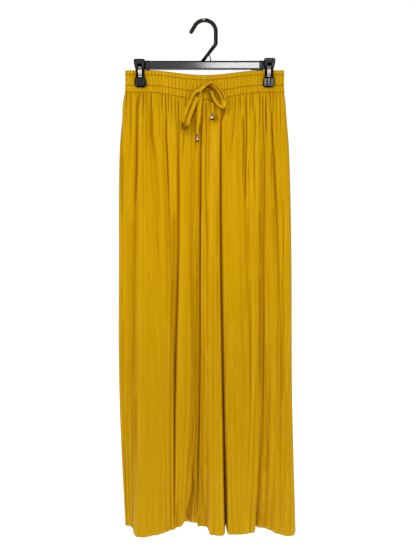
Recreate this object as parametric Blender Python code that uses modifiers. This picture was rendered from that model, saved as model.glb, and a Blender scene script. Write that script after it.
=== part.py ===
# Palazzo pants hanging from a two-clip hanger.
#
# Frame: the origin is where a rail touches the hook, at the inside top of its bend.
# +X runs to the right as the garment's front is seen, +Y away from the viewer, +Z up.
# "Left" and "right" are as seen from the front. Sizes and tables are in millimetres.

import bmesh
import bpy
from collections import namedtuple
from math import atan2, cos, pi, radians, sin, sqrt
from mathutils import Matrix, Vector

MM = 0.001
FRONT = -1
BACK = 1
LEFT = -1
RIGHT = 1

SEAM_GAP = 0.3           # between sewn pieces, and between a piece and its seat
HALF_GAP = SEAM_GAP / 2
CLOTH_WALL = 1.5
EDGE_TURN = 1.9          # first strip along a seam, laid square to the joint
COLUMN_PITCH = 6.3       # half a pleat
PLEAT_HEIGHT = 1.2       # from the mean of a pleat to its ridge
GATHER_HEIGHT = 1.6      # the same, under the waistband
GATHER_END_Z = -235

# Waistband: an elastic casing, pinched flat by the clips and slack between them.
BAND_LEFT_X = -170.4
BAND_RIGHT_X = 171.0
BAND_WALL = 2.5
BAND_TOP_Z = -103.6      # at the clips
BAND_SEAM_Z = -148.6
BAND_TOP_SAG = 10.4      # extra drop at the middle of the top edge
BAND_SEAM_SAG = 13.2
BAND_SLACK = 7.0         # how far each side stands off the middle plane
SLACK_HALF_SPAN = 124
RIPPLE_PITCH = 7.4
RIPPLE_HEIGHT = 0.5
RIPPLE_HALF_SPAN = 117
RIPPLE_FADE = 12         # run over which the ripples die out towards each clip
CASING_ROWS = (0, 0.16, 0.63, 1)   # top edge, two stitch lines, seam

CROTCH_Z = -430
CROTCH_CURVE = 50        # height over which the rise turns through between the legs
CROTCH_FLAT = 4          # lowest part of that height, where it lies wholly front to back
HEM_Z = -1086
LEG_GAP = 0.6            # between the legs, once clear of the crotch
LEG_PARTING = 40         # height over which that gap opens, below the crotch

# Levels that the fold tables name, and the heights of the sections in between.
LEVEL_Z = (-155, -275, -490, -790, HEM_Z)
SECTION_Z = (-155, -170, -195, -230, -275, -330, -380, -406, -422, CROTCH_Z, -450, -520,
             -630, -760, -880, -970, -1035, HEM_Z)

# Outseam of each leg, at the five levels: x, and y (towards the back is plus).
Seam = namedtuple("Seam", "x y")
OUTSEAM = {
    LEFT: Seam(x=(-170.4, -182, -184, -182.5, -170.5), y=(0, 0, 2, 8, 24)),
    RIGHT: Seam(x=(171, 181.5, 187, 190, 195.5), y=(0, 0, 0, -2, -14)),
}
# Line between the two legs: the centre seams of the rise, then the inseams.
DIVISION_X = (0, -8, -9.8, -11.6, -12.3)
RISE_DEPTH = (11.5, 9, 9, 9, 9)    # how far the centre seams lie off the middle plane
INSEAM_Y = {LEFT: (0, 0, 0, 4, 29), RIGHT: (0, 0, 0, 3, 9)}

# A row for each fold, from the outseam inwards. x_seam is its place under the waistband, x its
# place at the other four levels, depth how far it stands off the middle plane there, and floor
# the width of a deep fold's bottom (none on a ridge or a soft hollow).
Fold = namedtuple("Fold", "name x_seam x depth floor")
FRONT_LEFT_FOLDS = (
    Fold("side roll", -163, (-167, -167, -168, -160), (14, 16, 14, 0), 0),
    Fold("side fold", -142, (-147.5, -151, -155.5, -153), (8, 11, 12, 2), 2.5),
    Fold("outer lobe", -128, (-126, -124, -121, -128), (20, 27, 38, 52), 0),
    Fold("slant hollow", -115, (-108.5, -99, -94, -100), (15, 25, 37, 42), 0),
    Fold("middle lobe", -100, (-93.5, -86, -84, -88), (20, 27, 37, 33), 0),
    Fold("inner hollow", -86, (-79, -74, -75, -76), (14, 20, 28, 20), 0),
    Fold("inner lobe", -73, (-68, -66, -70, -71), (17, 19, 22, 12), 0),
    Fold("deep fold", -57, (-57, -57, -64.5, -65), (6, 7, 8, 1), 2.5),
    Fold("inside roll", -42, (-42, -42, -44, -54), (19, 26, 30, -1), 0),
    Fold("inside hollow", -27, (-25, -28, -24, -45), (13, 17, 17, -8), 0),
    Fold("curled edge", -14, (-16, -17.5, -17.5, -31), (16, 19, 16, -26), 0),
)
FRONT_RIGHT_FOLDS = (
    Fold("side roll", 160, (165, 172, 177, 170), (17, 20, 25, 45), 0),
    Fold("side hollow", 147, (147, 157, 162, 152), (11, 16, 21, 33), 0),
    Fold("side lobe", 138, (138.5, 141, 145, 138), (17, 20, 27, 14), 0),
    Fold("side shelf", 133, (133, 132.5, 133, 127), (13, 16, 22, 1), 0),
    Fold("side fold", 126, (126.5, 124, 122, 108), (8, 11, 12, -12), 2.5),
    Fold("outer lobe", 108, (106, 108, 109, 97), (19, 26, 36, 30), 0),
    Fold("middle hollow", 88, (87, 91, 95, 87), (15, 23, 35, 35), 0),
    Fold("middle lobe", 60, (58, 60, 64, 72), (20, 27, 38, 38), 0),
    Fold("deep fold", 36, (34.5, 34.5, 39.5, 45), (4, 5, 5, -14), 2.5),
    Fold("inside roll", 24, (22, 22, 24, 27), (20, 28, 37, 43), 0),
    Fold("roll shoulder", 15.5, (11.5, 12, 13, 13.5), (19, 26, 35, 40), 0),
    Fold("centre pucker", 10, (5, 5.5, 6, 4), (15, 20, 24, -4), 0),
    Fold("centre roll", 5.5, (-1.5, -2, -2, -6), (16, 19, 20, -7), 0),
)
BACK_LEFT_FOLDS = (
    Fold("side roll", -156, (-160, -160, -160, -156), (14, 18, 26, 38), 0),
    Fold("side hollow", -128, (-132, -130, -132, -134), (10, 13, 18, 27), 0),
    Fold("outer lobe", -98, (-102, -100, -100, -100), (19, 26, 34, 43), 0),
    Fold("deep fold", -70, (-74, -72, -76, -78), (10, 12, 15, 24), 2.5),
    Fold("inside roll", -40, (-46, -46, -48, -46), (18, 25, 33, 41), 0),
)
BACK_RIGHT_FOLDS = (
    Fold("side roll", 154, (160, 164, 168, 168), (15, 18, 24, 32), 0),
    Fold("side hollow", 134, (138, 140, 142, 142), (10, 13, 18, 26), 0),
    Fold("outer lobe", 104, (106, 108, 112, 118), (18, 25, 33, 40), 0),
    Fold("middle hollow", 78, (80, 84, 90, 100), (12, 16, 21, 30), 0),
    Fold("middle lobe", 52, (58, 62, 68, 76), (19, 26, 34, 42), 0),
    Fold("deep fold", 34, (36, 38, 44, 48), (10, 12, 15, 32), 2.5),
    Fold("inside roll", 14, (16, 16, 17, 18), (18, 25, 33, 38), 0),
)
LOBE_POWER = 3.2         # how square the lobes stand over a deep fold

# Hanger: one moulding of a bar and a hook, with a clip on each end.
BAR_HALF_LENGTH = 127.4
BAR_TOP_Z = -82.2
BAR_BOTTOM_Z = -102
BAR_HALF_DEPTH = 4
BAR_BEVEL = 1.2
COLLAR_WIDTH = 9
COLLAR_INSET = 0.6
COLLAR_BEVEL = 1.5
COLLAR_HALF_DEPTH = 5.6
COLLAR_TOP_Z = -83.4
COLLAR_BOTTOM_Z = -103.2
TONGUE_END_X = 147
TONGUE_TOP_Z = -85
TONGUE_BOTTOM_Z = -100
TONGUE_HALF_DEPTH = 2.35
LIP_X = (100, 125.5)
LIP_DROP = 1.2
LIP_HALF_DEPTH = 1.5
UNION_SINK = 2           # how far the lip runs up inside the bar
HOOK_RADIUS = 24.3
HOOK_TUBE = 4.3
HOOK_OPEN_ANGLE = 150    # where the bend ends and the straight tip starts
HOOK_TIP_LENGTH = 17.5
SHANK_BEND_Z = -43
SHANK_FOOT = (-4, -86)   # x and z, inside the bar
SHANK_BEND_RADIUS = 9
RIB = ((9, -64), (13.5, -85))
RIB_HALF_WIDTH = 1.3

CLIP_X = {LEFT: -139.4, RIGHT: 139.4}
JAW_FACE = BAND_WALL + HALF_GAP + SEAM_GAP
JAW_DEPTH = 6
# Outline of a jaw: half its width at each height.
Width = namedtuple("Width", "z half")
JAW_OUTLINE = (
    Width(-77.6, 8.6), Width(-79.2, 10.9), Width(-82, 11.6), Width(-92, 11.2), Width(-102, 9.9),
    Width(-110, 9), Width(-114.5, 9.5), Width(-118.5, 11.8), Width(-122, 12.8), Width(-133, 13),
    Width(-137, 12.2), Width(-139.2, 9.6),
)
WAIST_SCOOP_Z = -106
WAIST_SCOOP_RADIUS = 12
WAIST_SCOOP_DEPTH = 2.4
WAIST_SCOOP_LENGTH = 40
WINDOW_HALF_WIDTH = 5
WINDOW_Z = (-84, -117.4)
SPRING_WALL = 0.9
SPRING_Z = (-92.6, -117.1)
SPRING_SINK = 1.7        # front of the spring, behind the jaw's front face at the waist

# Drawstring bow: flat straps. Each path is x, y, z by hand, from the knot to the knot or the end.
STRAP_THICKNESS = 1.6
STRAP_FLAT_SHARE = 0.8   # of its width, between its rounded edges
LOOP_WIDTH = 7
TAIL_WIDTH = 8.5
LEFT_LOOP_LEAN = 25      # degrees
RIGHT_LOOP_LEAN = 35
KNOT_CENTRE = (-1.5, -14.65, -140.5)
KNOT_HALF_SIZE = (8.2, 4.7, 5.6)
KNOT_TILT = -38          # degrees, its long way runs down to the left
PATH_STEP = 9
LEFT_LOOP_PATH = (
    (-7.8, -17, -143.9), (-15, -19.6, -145.2), (-23, -22.3, -153.5), (-30.5, -24.5, -168),
    (-37, -26, -184), (-42, -27.2, -201), (-45, -28.2, -219), (-43.6, -28, -228.6),
    (-38.6, -27, -229.4), (-33.5, -25.8, -218), (-28, -24.2, -202), (-21.5, -22, -184),
    (-14.8, -19.3, -166), (-9, -16.6, -150.5),
)
RIGHT_LOOP_PATH = (
    (4.6, -17.1, -133.5), (8.2, -19.2, -130.6), (14, -21.4, -129.8), (24, -24, -136), (33.5, -26, -147),
    (41.5, -27.5, -160), (46, -28, -172), (43.6, -27.6, -181), (35.5, -26.2, -182.6),
    (26.5, -24.4, -175.5), (19.4, -22.4, -164), (13.2, -19.6, -151.5), (6.2, -16, -142),
)
LEFT_TAIL_PATH = (
    (-6.6, -13.4, -149), (-9.6, -14.9, -160), (-12, -17.6, -180), (-13.4, -20, -205), (-14.8, -22, -226),
    (-14.9, -22.4, -235), (-14.9, -22.4, -239.8),
)
RIGHT_TAIL_PATH = (
    (2.1, -13.4, -145.4), (8.4, -15.2, -157), (13.4, -19, -171), (16.2, -22.6, -184), (16.6, -23.8, -190.5),
    (16.6, -23.8, -194.4),
)
# Turned metal end, as radius and height below the strap.
Turning = namedtuple("Turning", "radius drop")
METAL_END = (
    Turning(0, 0), Turning(1.6, 0), Turning(2, 1.4), Turning(1.7, 5.4), Turning(2.6, 6.8), Turning(3.3, 9.6),
    Turning(3.9, 13.2), Turning(3.8, 14.6), Turning(3, 15.4), Turning(0, 15.4),
)

Finish = namedtuple("Finish", "colour roughness metallic")
CLOTH = Finish((0.58, 0.33, 0.01), 0.72, 0)
BLACK_PLASTIC = Finish((0.012, 0.012, 0.013), 0.28, 0)
STEEL = Finish((0.62, 0.61, 0.58), 0.32, 1)
DARK_METAL = Finish((0.36, 0.35, 0.33), 0.25, 1)


def clear_scene():
    for old in list(bpy.data.objects):
        bpy.data.objects.remove(old, do_unlink=True)


def new_collection(name):
    collection = bpy.data.collections.new(name)
    bpy.context.scene.collection.children.link(collection)
    return collection


def give_finish(obj, finish):
    material = bpy.data.materials.new(obj.name + "_finish")
    material.use_nodes = True
    shader = material.node_tree.nodes["Principled BSDF"]
    shader.inputs["Base Color"].default_value = (*finish.colour, 1)
    shader.inputs["Roughness"].default_value = finish.roughness
    shader.inputs["Metallic"].default_value = finish.metallic
    obj.data.materials.clear()
    obj.data.materials.append(material)


def mesh_object(name, points, faces, collection):
    """Points are in millimetres."""
    mesh = bpy.data.meshes.new(name)
    mesh.from_pydata([Vector(point) * MM for point in points], [], faces)
    mesh.update()
    obj = bpy.data.objects.new(name, mesh)
    collection.objects.link(obj)
    return obj


def ease(t):
    t = min(max(t, 0), 1)
    return t * t * (3 - 2 * t)


def smooth_at(z, values):
    """Value at height z on a smooth curve through the values at the named levels."""
    if z >= LEVEL_Z[0]:
        return values[0]
    if z <= LEVEL_Z[-1]:
        return values[-1]
    i = max(k for k in range(len(LEVEL_Z) - 1) if z <= LEVEL_Z[k])
    span = LEVEL_Z[i + 1] - LEVEL_Z[i]
    t = (z - LEVEL_Z[i]) / span

    def slope(k):
        low = max(k - 1, 0)
        high = min(k + 1, len(LEVEL_Z) - 1)
        return (values[high] - values[low]) / (LEVEL_Z[high] - LEVEL_Z[low])

    start = (2 * t ** 3 - 3 * t ** 2 + 1) * values[i] + (t ** 3 - 2 * t ** 2 + t) * span * slope(i)
    end = (3 * t ** 2 - 2 * t ** 3) * values[i + 1] + (t ** 3 - t ** 2) * span * slope(i + 1)
    return start + end


def slack(x):
    """1 midway between the clips, where the band hangs freest, and 0 at and beyond them."""
    if abs(x) > SLACK_HALF_SPAN:
        return 0
    return 0.5 + 0.5 * cos(pi * x / SLACK_HALF_SPAN)


def band_depth(x):
    return BAND_WALL + HALF_GAP + BAND_SLACK * slack(x)


def band_seam_z(x):
    return BAND_SEAM_Z - BAND_SEAM_SAG * slack(x)


def band_top_z(x):
    return BAND_TOP_Z - BAND_TOP_SAG * slack(x)


# ---- cloth -------------------------------------------------------------------------------

def fold_stations(folds, z):
    """The folds' places at one height, as x, depth and whether the fold is a deep one."""
    stations = []
    for fold in folds:
        x = smooth_at(z, (fold.x_seam, *fold.x))
        depth = smooth_at(z, (band_depth(fold.x_seam) + 1 + GATHER_HEIGHT, *fold.depth))
        if fold.floor:
            half = fold.floor / 2 * (1 if x > smooth_at(z, DIVISION_X) else -1)
            stations += [(x + half, depth, True), (x - half, depth, True)]
        else:
            stations.append((x, depth, False))
    return stations


def inner_edge(leg, side, z):
    """The centre seam or inseam at one height, and the end of the first strip beside it."""
    above = z - CROTCH_Z
    turn = ease((CROTCH_CURVE - above) / (CROTCH_CURVE - CROTCH_FLAT)) * pi / 2
    fall = ease(-above / LEG_PARTING)
    x = smooth_at(z, DIVISION_X) + leg * (HALF_GAP + fall * (LEG_GAP / 2 - HALF_GAP))
    if above >= CROTCH_CURVE:
        y = side * smooth_at(z, RISE_DEPTH)
    elif above > 0:
        y = side * (HALF_GAP + smooth_at(z, RISE_DEPTH) * sqrt(1 - (1 - above / CROTCH_CURVE) ** 2))
    else:
        y = smooth_at(z, INSEAM_Y[leg]) + side * HALF_GAP
    strip = (x + leg * EDGE_TURN * cos(turn), y + side * EDGE_TURN * sin(turn))
    return (x, y), strip


def columns_between(folds, number):
    """How many strips lie between one fold and the next: half a pleat each, by their mean spacing."""
    if number == 0 or number == len(folds):
        return 3
    here, after = folds[number - 1], folds[number]
    spacing = sum(abs(a - b) for a, b in zip(here.x, after.x)) / len(here.x)
    return max(1, round(spacing / COLUMN_PITCH))


def lobe(t, from_deep, to_deep):
    """Share of the way from one fold's depth to the next: a deep fold is a steep-sided notch."""
    if from_deep and not to_deep:
        return 1 - (1 - t) ** LOBE_POWER
    if to_deep and not from_deep:
        return t ** LOBE_POWER
    return ease(t)


def leg_section(leg, side, folds, z):
    """One section of a panel, as x and y from the outseam to the inner edge."""
    outseam_x = smooth_at(z, OUTSEAM[leg].x)
    outseam_y = smooth_at(z, OUTSEAM[leg].y)
    edge, strip = inner_edge(leg, side, z)
    gathered = ease((z - GATHER_END_Z) / (LEVEL_Z[0] - GATHER_END_Z))
    height = PLEAT_HEIGHT + gathered * (GATHER_HEIGHT - PLEAT_HEIGHT)

    stations = [(outseam_x, side * outseam_y + EDGE_TURN, True)]
    stations += fold_stations(folds, z)
    stations.append((strip[0], side * strip[1], True))
    points = [(outseam_x, outseam_y + side * HALF_GAP)]
    fold_number = 0
    ridge = 1
    for start, end in zip(stations, stations[1:]):
        floor = start[2] and end[2]
        strips = 1 if floor else columns_between(folds, fold_number)
        fold_number += 0 if floor else 1
        for k in range(strips):
            t = k / strips
            x = start[0] + (end[0] - start[0]) * t
            depth = start[1] + (end[1] - start[1]) * lobe(t, start[2], end[2])
            if k or not start[2]:
                depth += ridge * height
                ridge = -ridge
            points.append((x, side * depth))
    points += [strip, edge]
    return points


def leg_panel(name, leg, side, folds, collection):
    rows = []
    for z in SECTION_Z:
        near_band = ease((z - GATHER_END_Z) / (LEVEL_Z[0] - GATHER_END_Z))
        row = []
        for x, y in leg_section(leg, side, folds, z):
            drop = near_band * (band_seam_z(x) - SEAM_GAP - LEVEL_Z[0])
            row.append((x, y, z + drop))
        rows.append(row)
    return cloth_shell(name, rows, CLOTH_WALL, leg * side > 0, collection)


def cloth_shell(name, rows, wall, flip, collection):
    """A wall behind the surface through these rows of points."""
    width = len(rows[0])
    points = [point for row in rows for point in row]
    faces = []
    for r in range(len(rows) - 1):
        for c in range(width - 1):
            a = r * width + c
            quad = (a, a + 1, a + width + 1, a + width)
            faces.append(quad[::-1] if flip else quad)
    obj = mesh_object(name, points, faces, collection)
    solidify = obj.modifiers.new("Wall", "SOLIDIFY")
    solidify.thickness = wall * MM
    solidify.offset = -1
    solidify.use_rim = True
    give_finish(obj, CLOTH)
    return obj


def waistband(name, side, collection):
    count = 2 * round((BAND_RIGHT_X - BAND_LEFT_X) / RIPPLE_PITCH)
    rows = []
    for share in CASING_ROWS:
        row = []
        for k in range(count + 1):
            x = BAND_LEFT_X + (BAND_RIGHT_X - BAND_LEFT_X) * k / count
            z = band_top_z(x) + (band_seam_z(x) - band_top_z(x)) * share
            ripple = RIPPLE_HEIGHT * ease((RIPPLE_HALF_SPAN - abs(x)) / RIPPLE_FADE)
            depth = band_depth(x) + ripple * (1 if k % 2 else -1)
            row.append((x, side * depth, z))
        rows.append(row)
    return cloth_shell(name, rows, BAND_WALL, side == FRONT, collection)


# ---- hanger --------------------------------------------------------------------------------

def box(name, low, high, collection):
    bpy.ops.mesh.primitive_cube_add(size=1)
    obj = bpy.context.active_object
    obj.name = name
    size = [b - a for a, b in zip(low, high)]
    middle = [(a + b) / 2 for a, b in zip(low, high)]
    scale = Matrix.Diagonal((*(s * MM for s in size), 1))
    obj.data.transform(Matrix.Translation(Vector(middle) * MM) @ scale)
    for owner in list(obj.users_collection):
        owner.objects.unlink(obj)
    collection.objects.link(obj)
    return obj


def bevel(obj, width, segments):
    modifier = obj.modifiers.new("Rounded edges", "BEVEL")
    modifier.width = width * MM
    modifier.segments = segments
    modifier.limit_method = "ANGLE"
    modifier.angle_limit = radians(40)


def as_guide(obj):
    obj.hide_render = True
    obj.display_type = "WIRE"


def boolean(obj, other, operation):
    modifier = obj.modifiers.new(operation.title(), "BOOLEAN")
    modifier.operation = operation
    modifier.solver = "EXACT"
    modifier.object = other


def curve_mesh(name, points, radius, collection):
    """A round bar along these points, as a closed mesh."""
    curve = bpy.data.curves.new(name + "_path", "CURVE")
    curve.dimensions = "3D"
    curve.bevel_depth = radius * MM
    curve.bevel_resolution = 2
    curve.use_fill_caps = True
    spline = curve.splines.new("POLY")
    spline.points.add(len(points) - 1)
    for target, point in zip(spline.points, points):
        target.co = (*(Vector(point) * MM), 1)
    path = bpy.data.objects.new(name + "_path", curve)
    collection.objects.link(path)
    return mesh_from_curve(name, path, collection)


def mesh_from_curve(name, path, collection):
    bpy.context.view_layer.update()
    evaluated = path.evaluated_get(bpy.context.evaluated_depsgraph_get())
    mesh = bpy.data.meshes.new_from_object(evaluated)
    shape = bmesh.new()
    shape.from_mesh(mesh)
    bmesh.ops.remove_doubles(shape, verts=shape.verts, dist=0.00005)
    bmesh.ops.recalc_face_normals(shape, faces=shape.faces)
    shape.to_mesh(mesh)
    shape.free()
    obj = bpy.data.objects.new(name, mesh)
    obj.matrix_world = path.matrix_world
    collection.objects.link(obj)
    bpy.data.objects.remove(path, do_unlink=True)
    return obj


def hook_points():
    centre_z = -HOOK_RADIUS + HOOK_TUBE
    points = []
    open_angle = radians(HOOK_OPEN_ANGLE)
    end = (HOOK_RADIUS * cos(open_angle), centre_z + HOOK_RADIUS * sin(open_angle))
    tip = (end[0] - HOOK_TIP_LENGTH * sin(open_angle), end[1] + HOOK_TIP_LENGTH * cos(open_angle))
    points.append((tip[0], 0, tip[1]))
    steps = 15
    for k in range(steps + 1):
        angle = open_angle * (1 - k / steps)
        points.append((HOOK_RADIUS * cos(angle), 0, centre_z + HOOK_RADIUS * sin(angle)))
    points += bend_points((HOOK_RADIUS, SHANK_BEND_Z), SHANK_FOOT, SHANK_BEND_RADIUS, steps=4)
    points.append((SHANK_FOOT[0], 0, SHANK_FOOT[1]))
    return points


def bend_points(corner, foot, radius, steps):
    """Round off the corner between the upright shank and its slanting foot."""
    slant = atan2(foot[0] - corner[0], corner[1] - foot[1])
    inset = radius * abs(sin(slant / 2) / cos(slant / 2))
    centre = (corner[0] - radius, corner[1] + inset)
    points = []
    for k in range(steps + 1):
        angle = slant * k / steps
        points.append((centre[0] + radius * cos(angle), 0, centre[1] + radius * sin(angle)))
    return points


def hanger_frame(collection, guides):
    frame = box("hanger_frame", (-BAR_HALF_LENGTH, -BAR_HALF_DEPTH, BAR_BOTTOM_Z),
                (BAR_HALF_LENGTH, BAR_HALF_DEPTH, BAR_TOP_Z), collection)
    bevel(frame, BAR_BEVEL, 2)
    extras = [curve_mesh("hook_bend", hook_points(), HOOK_TUBE, guides)]
    extras.append(box("tongues", (-TONGUE_END_X, -TONGUE_HALF_DEPTH, TONGUE_BOTTOM_Z),
                      (TONGUE_END_X, TONGUE_HALF_DEPTH, TONGUE_TOP_Z), guides))
    for leg in (LEFT, RIGHT):
        outer_end = BAR_HALF_LENGTH - COLLAR_INSET
        ends = sorted((leg * outer_end, leg * (outer_end - COLLAR_WIDTH)))
        collar = box("collar", (ends[0], -COLLAR_HALF_DEPTH, COLLAR_BOTTOM_Z),
                     (ends[1], COLLAR_HALF_DEPTH, COLLAR_TOP_Z), guides)
        bevel(collar, COLLAR_BEVEL, 2)
        extras.append(collar)
    extras.append(box("lip", (LIP_X[0], -LIP_HALF_DEPTH, BAR_BOTTOM_Z - LIP_DROP),
                      (LIP_X[1], LIP_HALF_DEPTH, BAR_BOTTOM_Z + UNION_SINK), guides))
    rib_path = [(x, 0, z) for x, z in RIB]
    extras.append(curve_mesh("rib", rib_path, RIB_HALF_WIDTH, guides))
    for extra in extras:
        as_guide(extra)
        boolean(frame, extra, "UNION")
    give_finish(frame, BLACK_PLASTIC)


def clip_jaw(name, leg, side, collection, guides):
    outline = [(w.half, w.z) for w in JAW_OUTLINE]
    outline += [(-w.half, w.z) for w in reversed(JAW_OUTLINE)]
    curve = bpy.data.curves.new(name + "_outline", "CURVE")
    curve.dimensions = "2D"
    curve.fill_mode = "BOTH"
    curve.extrude = JAW_DEPTH / 2 * MM
    spline = curve.splines.new("POLY")
    spline.points.add(len(outline) - 1)
    spline.use_cyclic_u = True
    for target, (x, z) in zip(spline.points, outline):
        target.co = (x * MM, z * MM, 0, 1)
    plate = bpy.data.objects.new(name + "_outline", curve)
    middle = side * (JAW_FACE + JAW_DEPTH / 2)
    plate.location = (CLIP_X[leg] * MM, middle * MM, 0)
    plate.rotation_euler = (pi / 2, 0, 0)
    collection.objects.link(plate)
    jaw = mesh_from_curve(name, plate, collection)

    outer = side * (JAW_FACE + JAW_DEPTH)
    window = box(name + "_window", (CLIP_X[leg] - WINDOW_HALF_WIDTH, min(0, outer * 1.5), WINDOW_Z[1]),
                 (CLIP_X[leg] + WINDOW_HALF_WIDTH, max(0, outer * 1.5), WINDOW_Z[0]), guides)
    bpy.ops.mesh.primitive_cylinder_add(vertices=40, radius=WAIST_SCOOP_RADIUS * MM,
                                        depth=WAIST_SCOOP_LENGTH * MM)
    scoop = bpy.context.active_object
    scoop.name = name + "_scoop"
    scoop.rotation_euler = (0, pi / 2, 0)
    offset = outer + side * (WAIST_SCOOP_RADIUS - WAIST_SCOOP_DEPTH)
    scoop.location = (CLIP_X[leg] * MM, offset * MM, WAIST_SCOOP_Z * MM)
    for owner in list(scoop.users_collection):
        owner.objects.unlink(scoop)
    guides.objects.link(scoop)
    for cutter in (window, scoop):
        as_guide(cutter)
        boolean(jaw, cutter, "DIFFERENCE")
    give_finish(jaw, BLACK_PLASTIC)


def clip_spring(name, leg, side, collection):
    front = JAW_FACE + JAW_DEPTH - WAIST_SCOOP_DEPTH - SPRING_SINK
    depths = sorted((side * front, side * (front - SPRING_WALL)))
    half = WINDOW_HALF_WIDTH - SEAM_GAP
    spring = box(name, (CLIP_X[leg] - half, depths[0], SPRING_Z[1]),
                 (CLIP_X[leg] + half, depths[1], SPRING_Z[0]), collection)
    give_finish(spring, STEEL)


# ---- drawstring ------------------------------------------------------------------------------

def smooth_path(points, step):
    """Points about one step apart on a smooth curve through the given ones."""
    path = []
    for i in range(len(points) - 1):
        p0 = Vector(points[max(i - 1, 0)])
        p1 = Vector(points[i])
        p2 = Vector(points[i + 1])
        p3 = Vector(points[min(i + 2, len(points) - 1)])
        count = max(1, round((p2 - p1).length / step))
        for k in range(count):
            t = k / count
            path.append(0.5 * (2 * p1 + (p2 - p0) * t + (2 * p0 - 5 * p1 + 4 * p2 - p3) * t * t
                               + (3 * p1 - p0 - 3 * p2 + p3) * t ** 3))
    path.append(Vector(points[-1]))
    return path


def strap(name, points, width, lean, collection):
    """A flat strap with rounded edges, flat at its ends. Lean turns its middle out of the front's plane."""
    path = smooth_path(points, PATH_STEP)
    half = width / 2
    thin = STRAP_THICKNESS / 2
    flat_half = half * STRAP_FLAT_SHARE
    outline = ((half, 0), (flat_half, thin), (-flat_half, thin),
               (-half, 0), (-flat_half, -thin), (flat_half, -thin))
    vertices = []
    for i, centre in enumerate(path):
        along = (path[min(i + 1, len(path) - 1)] - path[max(i - 1, 0)]).normalized()
        across = along.cross(Vector((0, 1, 0))).normalized()
        outward = across.cross(along)
        turn = radians(lean) * sin(pi * i / (len(path) - 1))
        wide = across * cos(turn) + outward * sin(turn)
        flat = outward * cos(turn) - across * sin(turn)
        vertices += [centre + wide * a + flat * b for a, b in outline]
    count = len(outline)
    faces = [tuple(reversed(range(count))), tuple(range(len(vertices) - count, len(vertices)))]
    for i in range(len(path) - 1):
        for k in range(count):
            a = i * count + k
            b = i * count + (k + 1) % count
            faces.append((a, b, b + count, a + count))
    obj = mesh_object(name, vertices, faces, collection)
    shape = bmesh.new()
    shape.from_mesh(obj.data)
    bmesh.ops.recalc_face_normals(shape, faces=shape.faces)
    shape.to_mesh(obj.data)
    shape.free()
    give_finish(obj, CLOTH)


def knot(collection):
    bpy.ops.mesh.primitive_uv_sphere_add(segments=14, ring_count=8, radius=1)
    obj = bpy.context.active_object
    obj.name = "tie_knot"
    size = Matrix.Diagonal((*(s * MM for s in KNOT_HALF_SIZE), 1))
    turn = Matrix.Rotation(radians(KNOT_TILT), 4, "Y")
    obj.data.transform(Matrix.Translation(Vector(KNOT_CENTRE) * MM) @ turn @ size)
    for owner in list(obj.users_collection):
        owner.objects.unlink(obj)
    collection.objects.link(obj)
    give_finish(obj, CLOTH)


def metal_end(name, path, collection):
    """A turned end that hangs straight down from the end of a strap."""
    top = Vector(path[-1]) - Vector((0, 0, SEAM_GAP))
    profile = [(t.radius, 0, -t.drop) for t in METAL_END]
    obj = mesh_object(name, profile, [], collection)
    shape = bmesh.new()
    shape.from_mesh(obj.data)
    shape.verts.ensure_lookup_table()
    for a, b in zip(shape.verts[:-1], shape.verts[1:]):
        shape.edges.new((a, b))
    bmesh.ops.spin(shape, geom=shape.verts[:] + shape.edges[:], cent=(0, 0, 0), axis=(0, 0, 1),
                   angle=2 * pi, steps=12, use_merge=True)
    bmesh.ops.remove_doubles(shape, verts=shape.verts, dist=0.00001)
    bmesh.ops.recalc_face_normals(shape, faces=shape.faces)
    shape.transform(Matrix.Translation(top * MM))
    shape.to_mesh(obj.data)
    shape.free()
    give_finish(obj, DARK_METAL)


def build():
    clear_scene()
    garment = new_collection("palazzo_pants")
    guides = new_collection("cutters")
    waistband("waistband_front", FRONT, garment)
    waistband("waistband_back", BACK, garment)
    leg_panel("leg_front_left", LEFT, FRONT, FRONT_LEFT_FOLDS, garment)
    leg_panel("leg_front_right", RIGHT, FRONT, FRONT_RIGHT_FOLDS, garment)
    leg_panel("leg_back_left", LEFT, BACK, BACK_LEFT_FOLDS, garment)
    leg_panel("leg_back_right", RIGHT, BACK, BACK_RIGHT_FOLDS, garment)
    hanger_frame(garment, guides)
    for leg, leg_name in ((LEFT, "left"), (RIGHT, "right")):
        for side, side_name in ((FRONT, "front"), (BACK, "back")):
            place = leg_name + "_" + side_name
            clip_jaw("clip_" + place, leg, side, garment, guides)
            clip_spring("spring_" + place, leg, side, garment)
    knot(garment)
    strap("tie_loop_left", LEFT_LOOP_PATH, LOOP_WIDTH, LEFT_LOOP_LEAN, garment)
    strap("tie_loop_right", RIGHT_LOOP_PATH, LOOP_WIDTH, RIGHT_LOOP_LEAN, garment)
    strap("tie_tail_left", LEFT_TAIL_PATH, TAIL_WIDTH, 0, garment)
    strap("tie_tail_right", RIGHT_TAIL_PATH, TAIL_WIDTH, 0, garment)
    metal_end("cord_end_left", LEFT_TAIL_PATH, garment)
    metal_end("cord_end_right", RIGHT_TAIL_PATH, garment)


build()
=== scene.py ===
# Looks of the palazzo pants on a two-clip hanger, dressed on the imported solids.
# Tables and sizes are in millimetres, in the frame's own axes: x to the right as the front is seen,
# y away from the viewer, z up, from where a rail touches the hook. Meshes are made in metres.
from collections import namedtuple
from math import atan2, cos, pi, radians, sin, tan

import bmesh
import bpy
import numpy as np
from mathutils import Matrix, Vector


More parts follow.
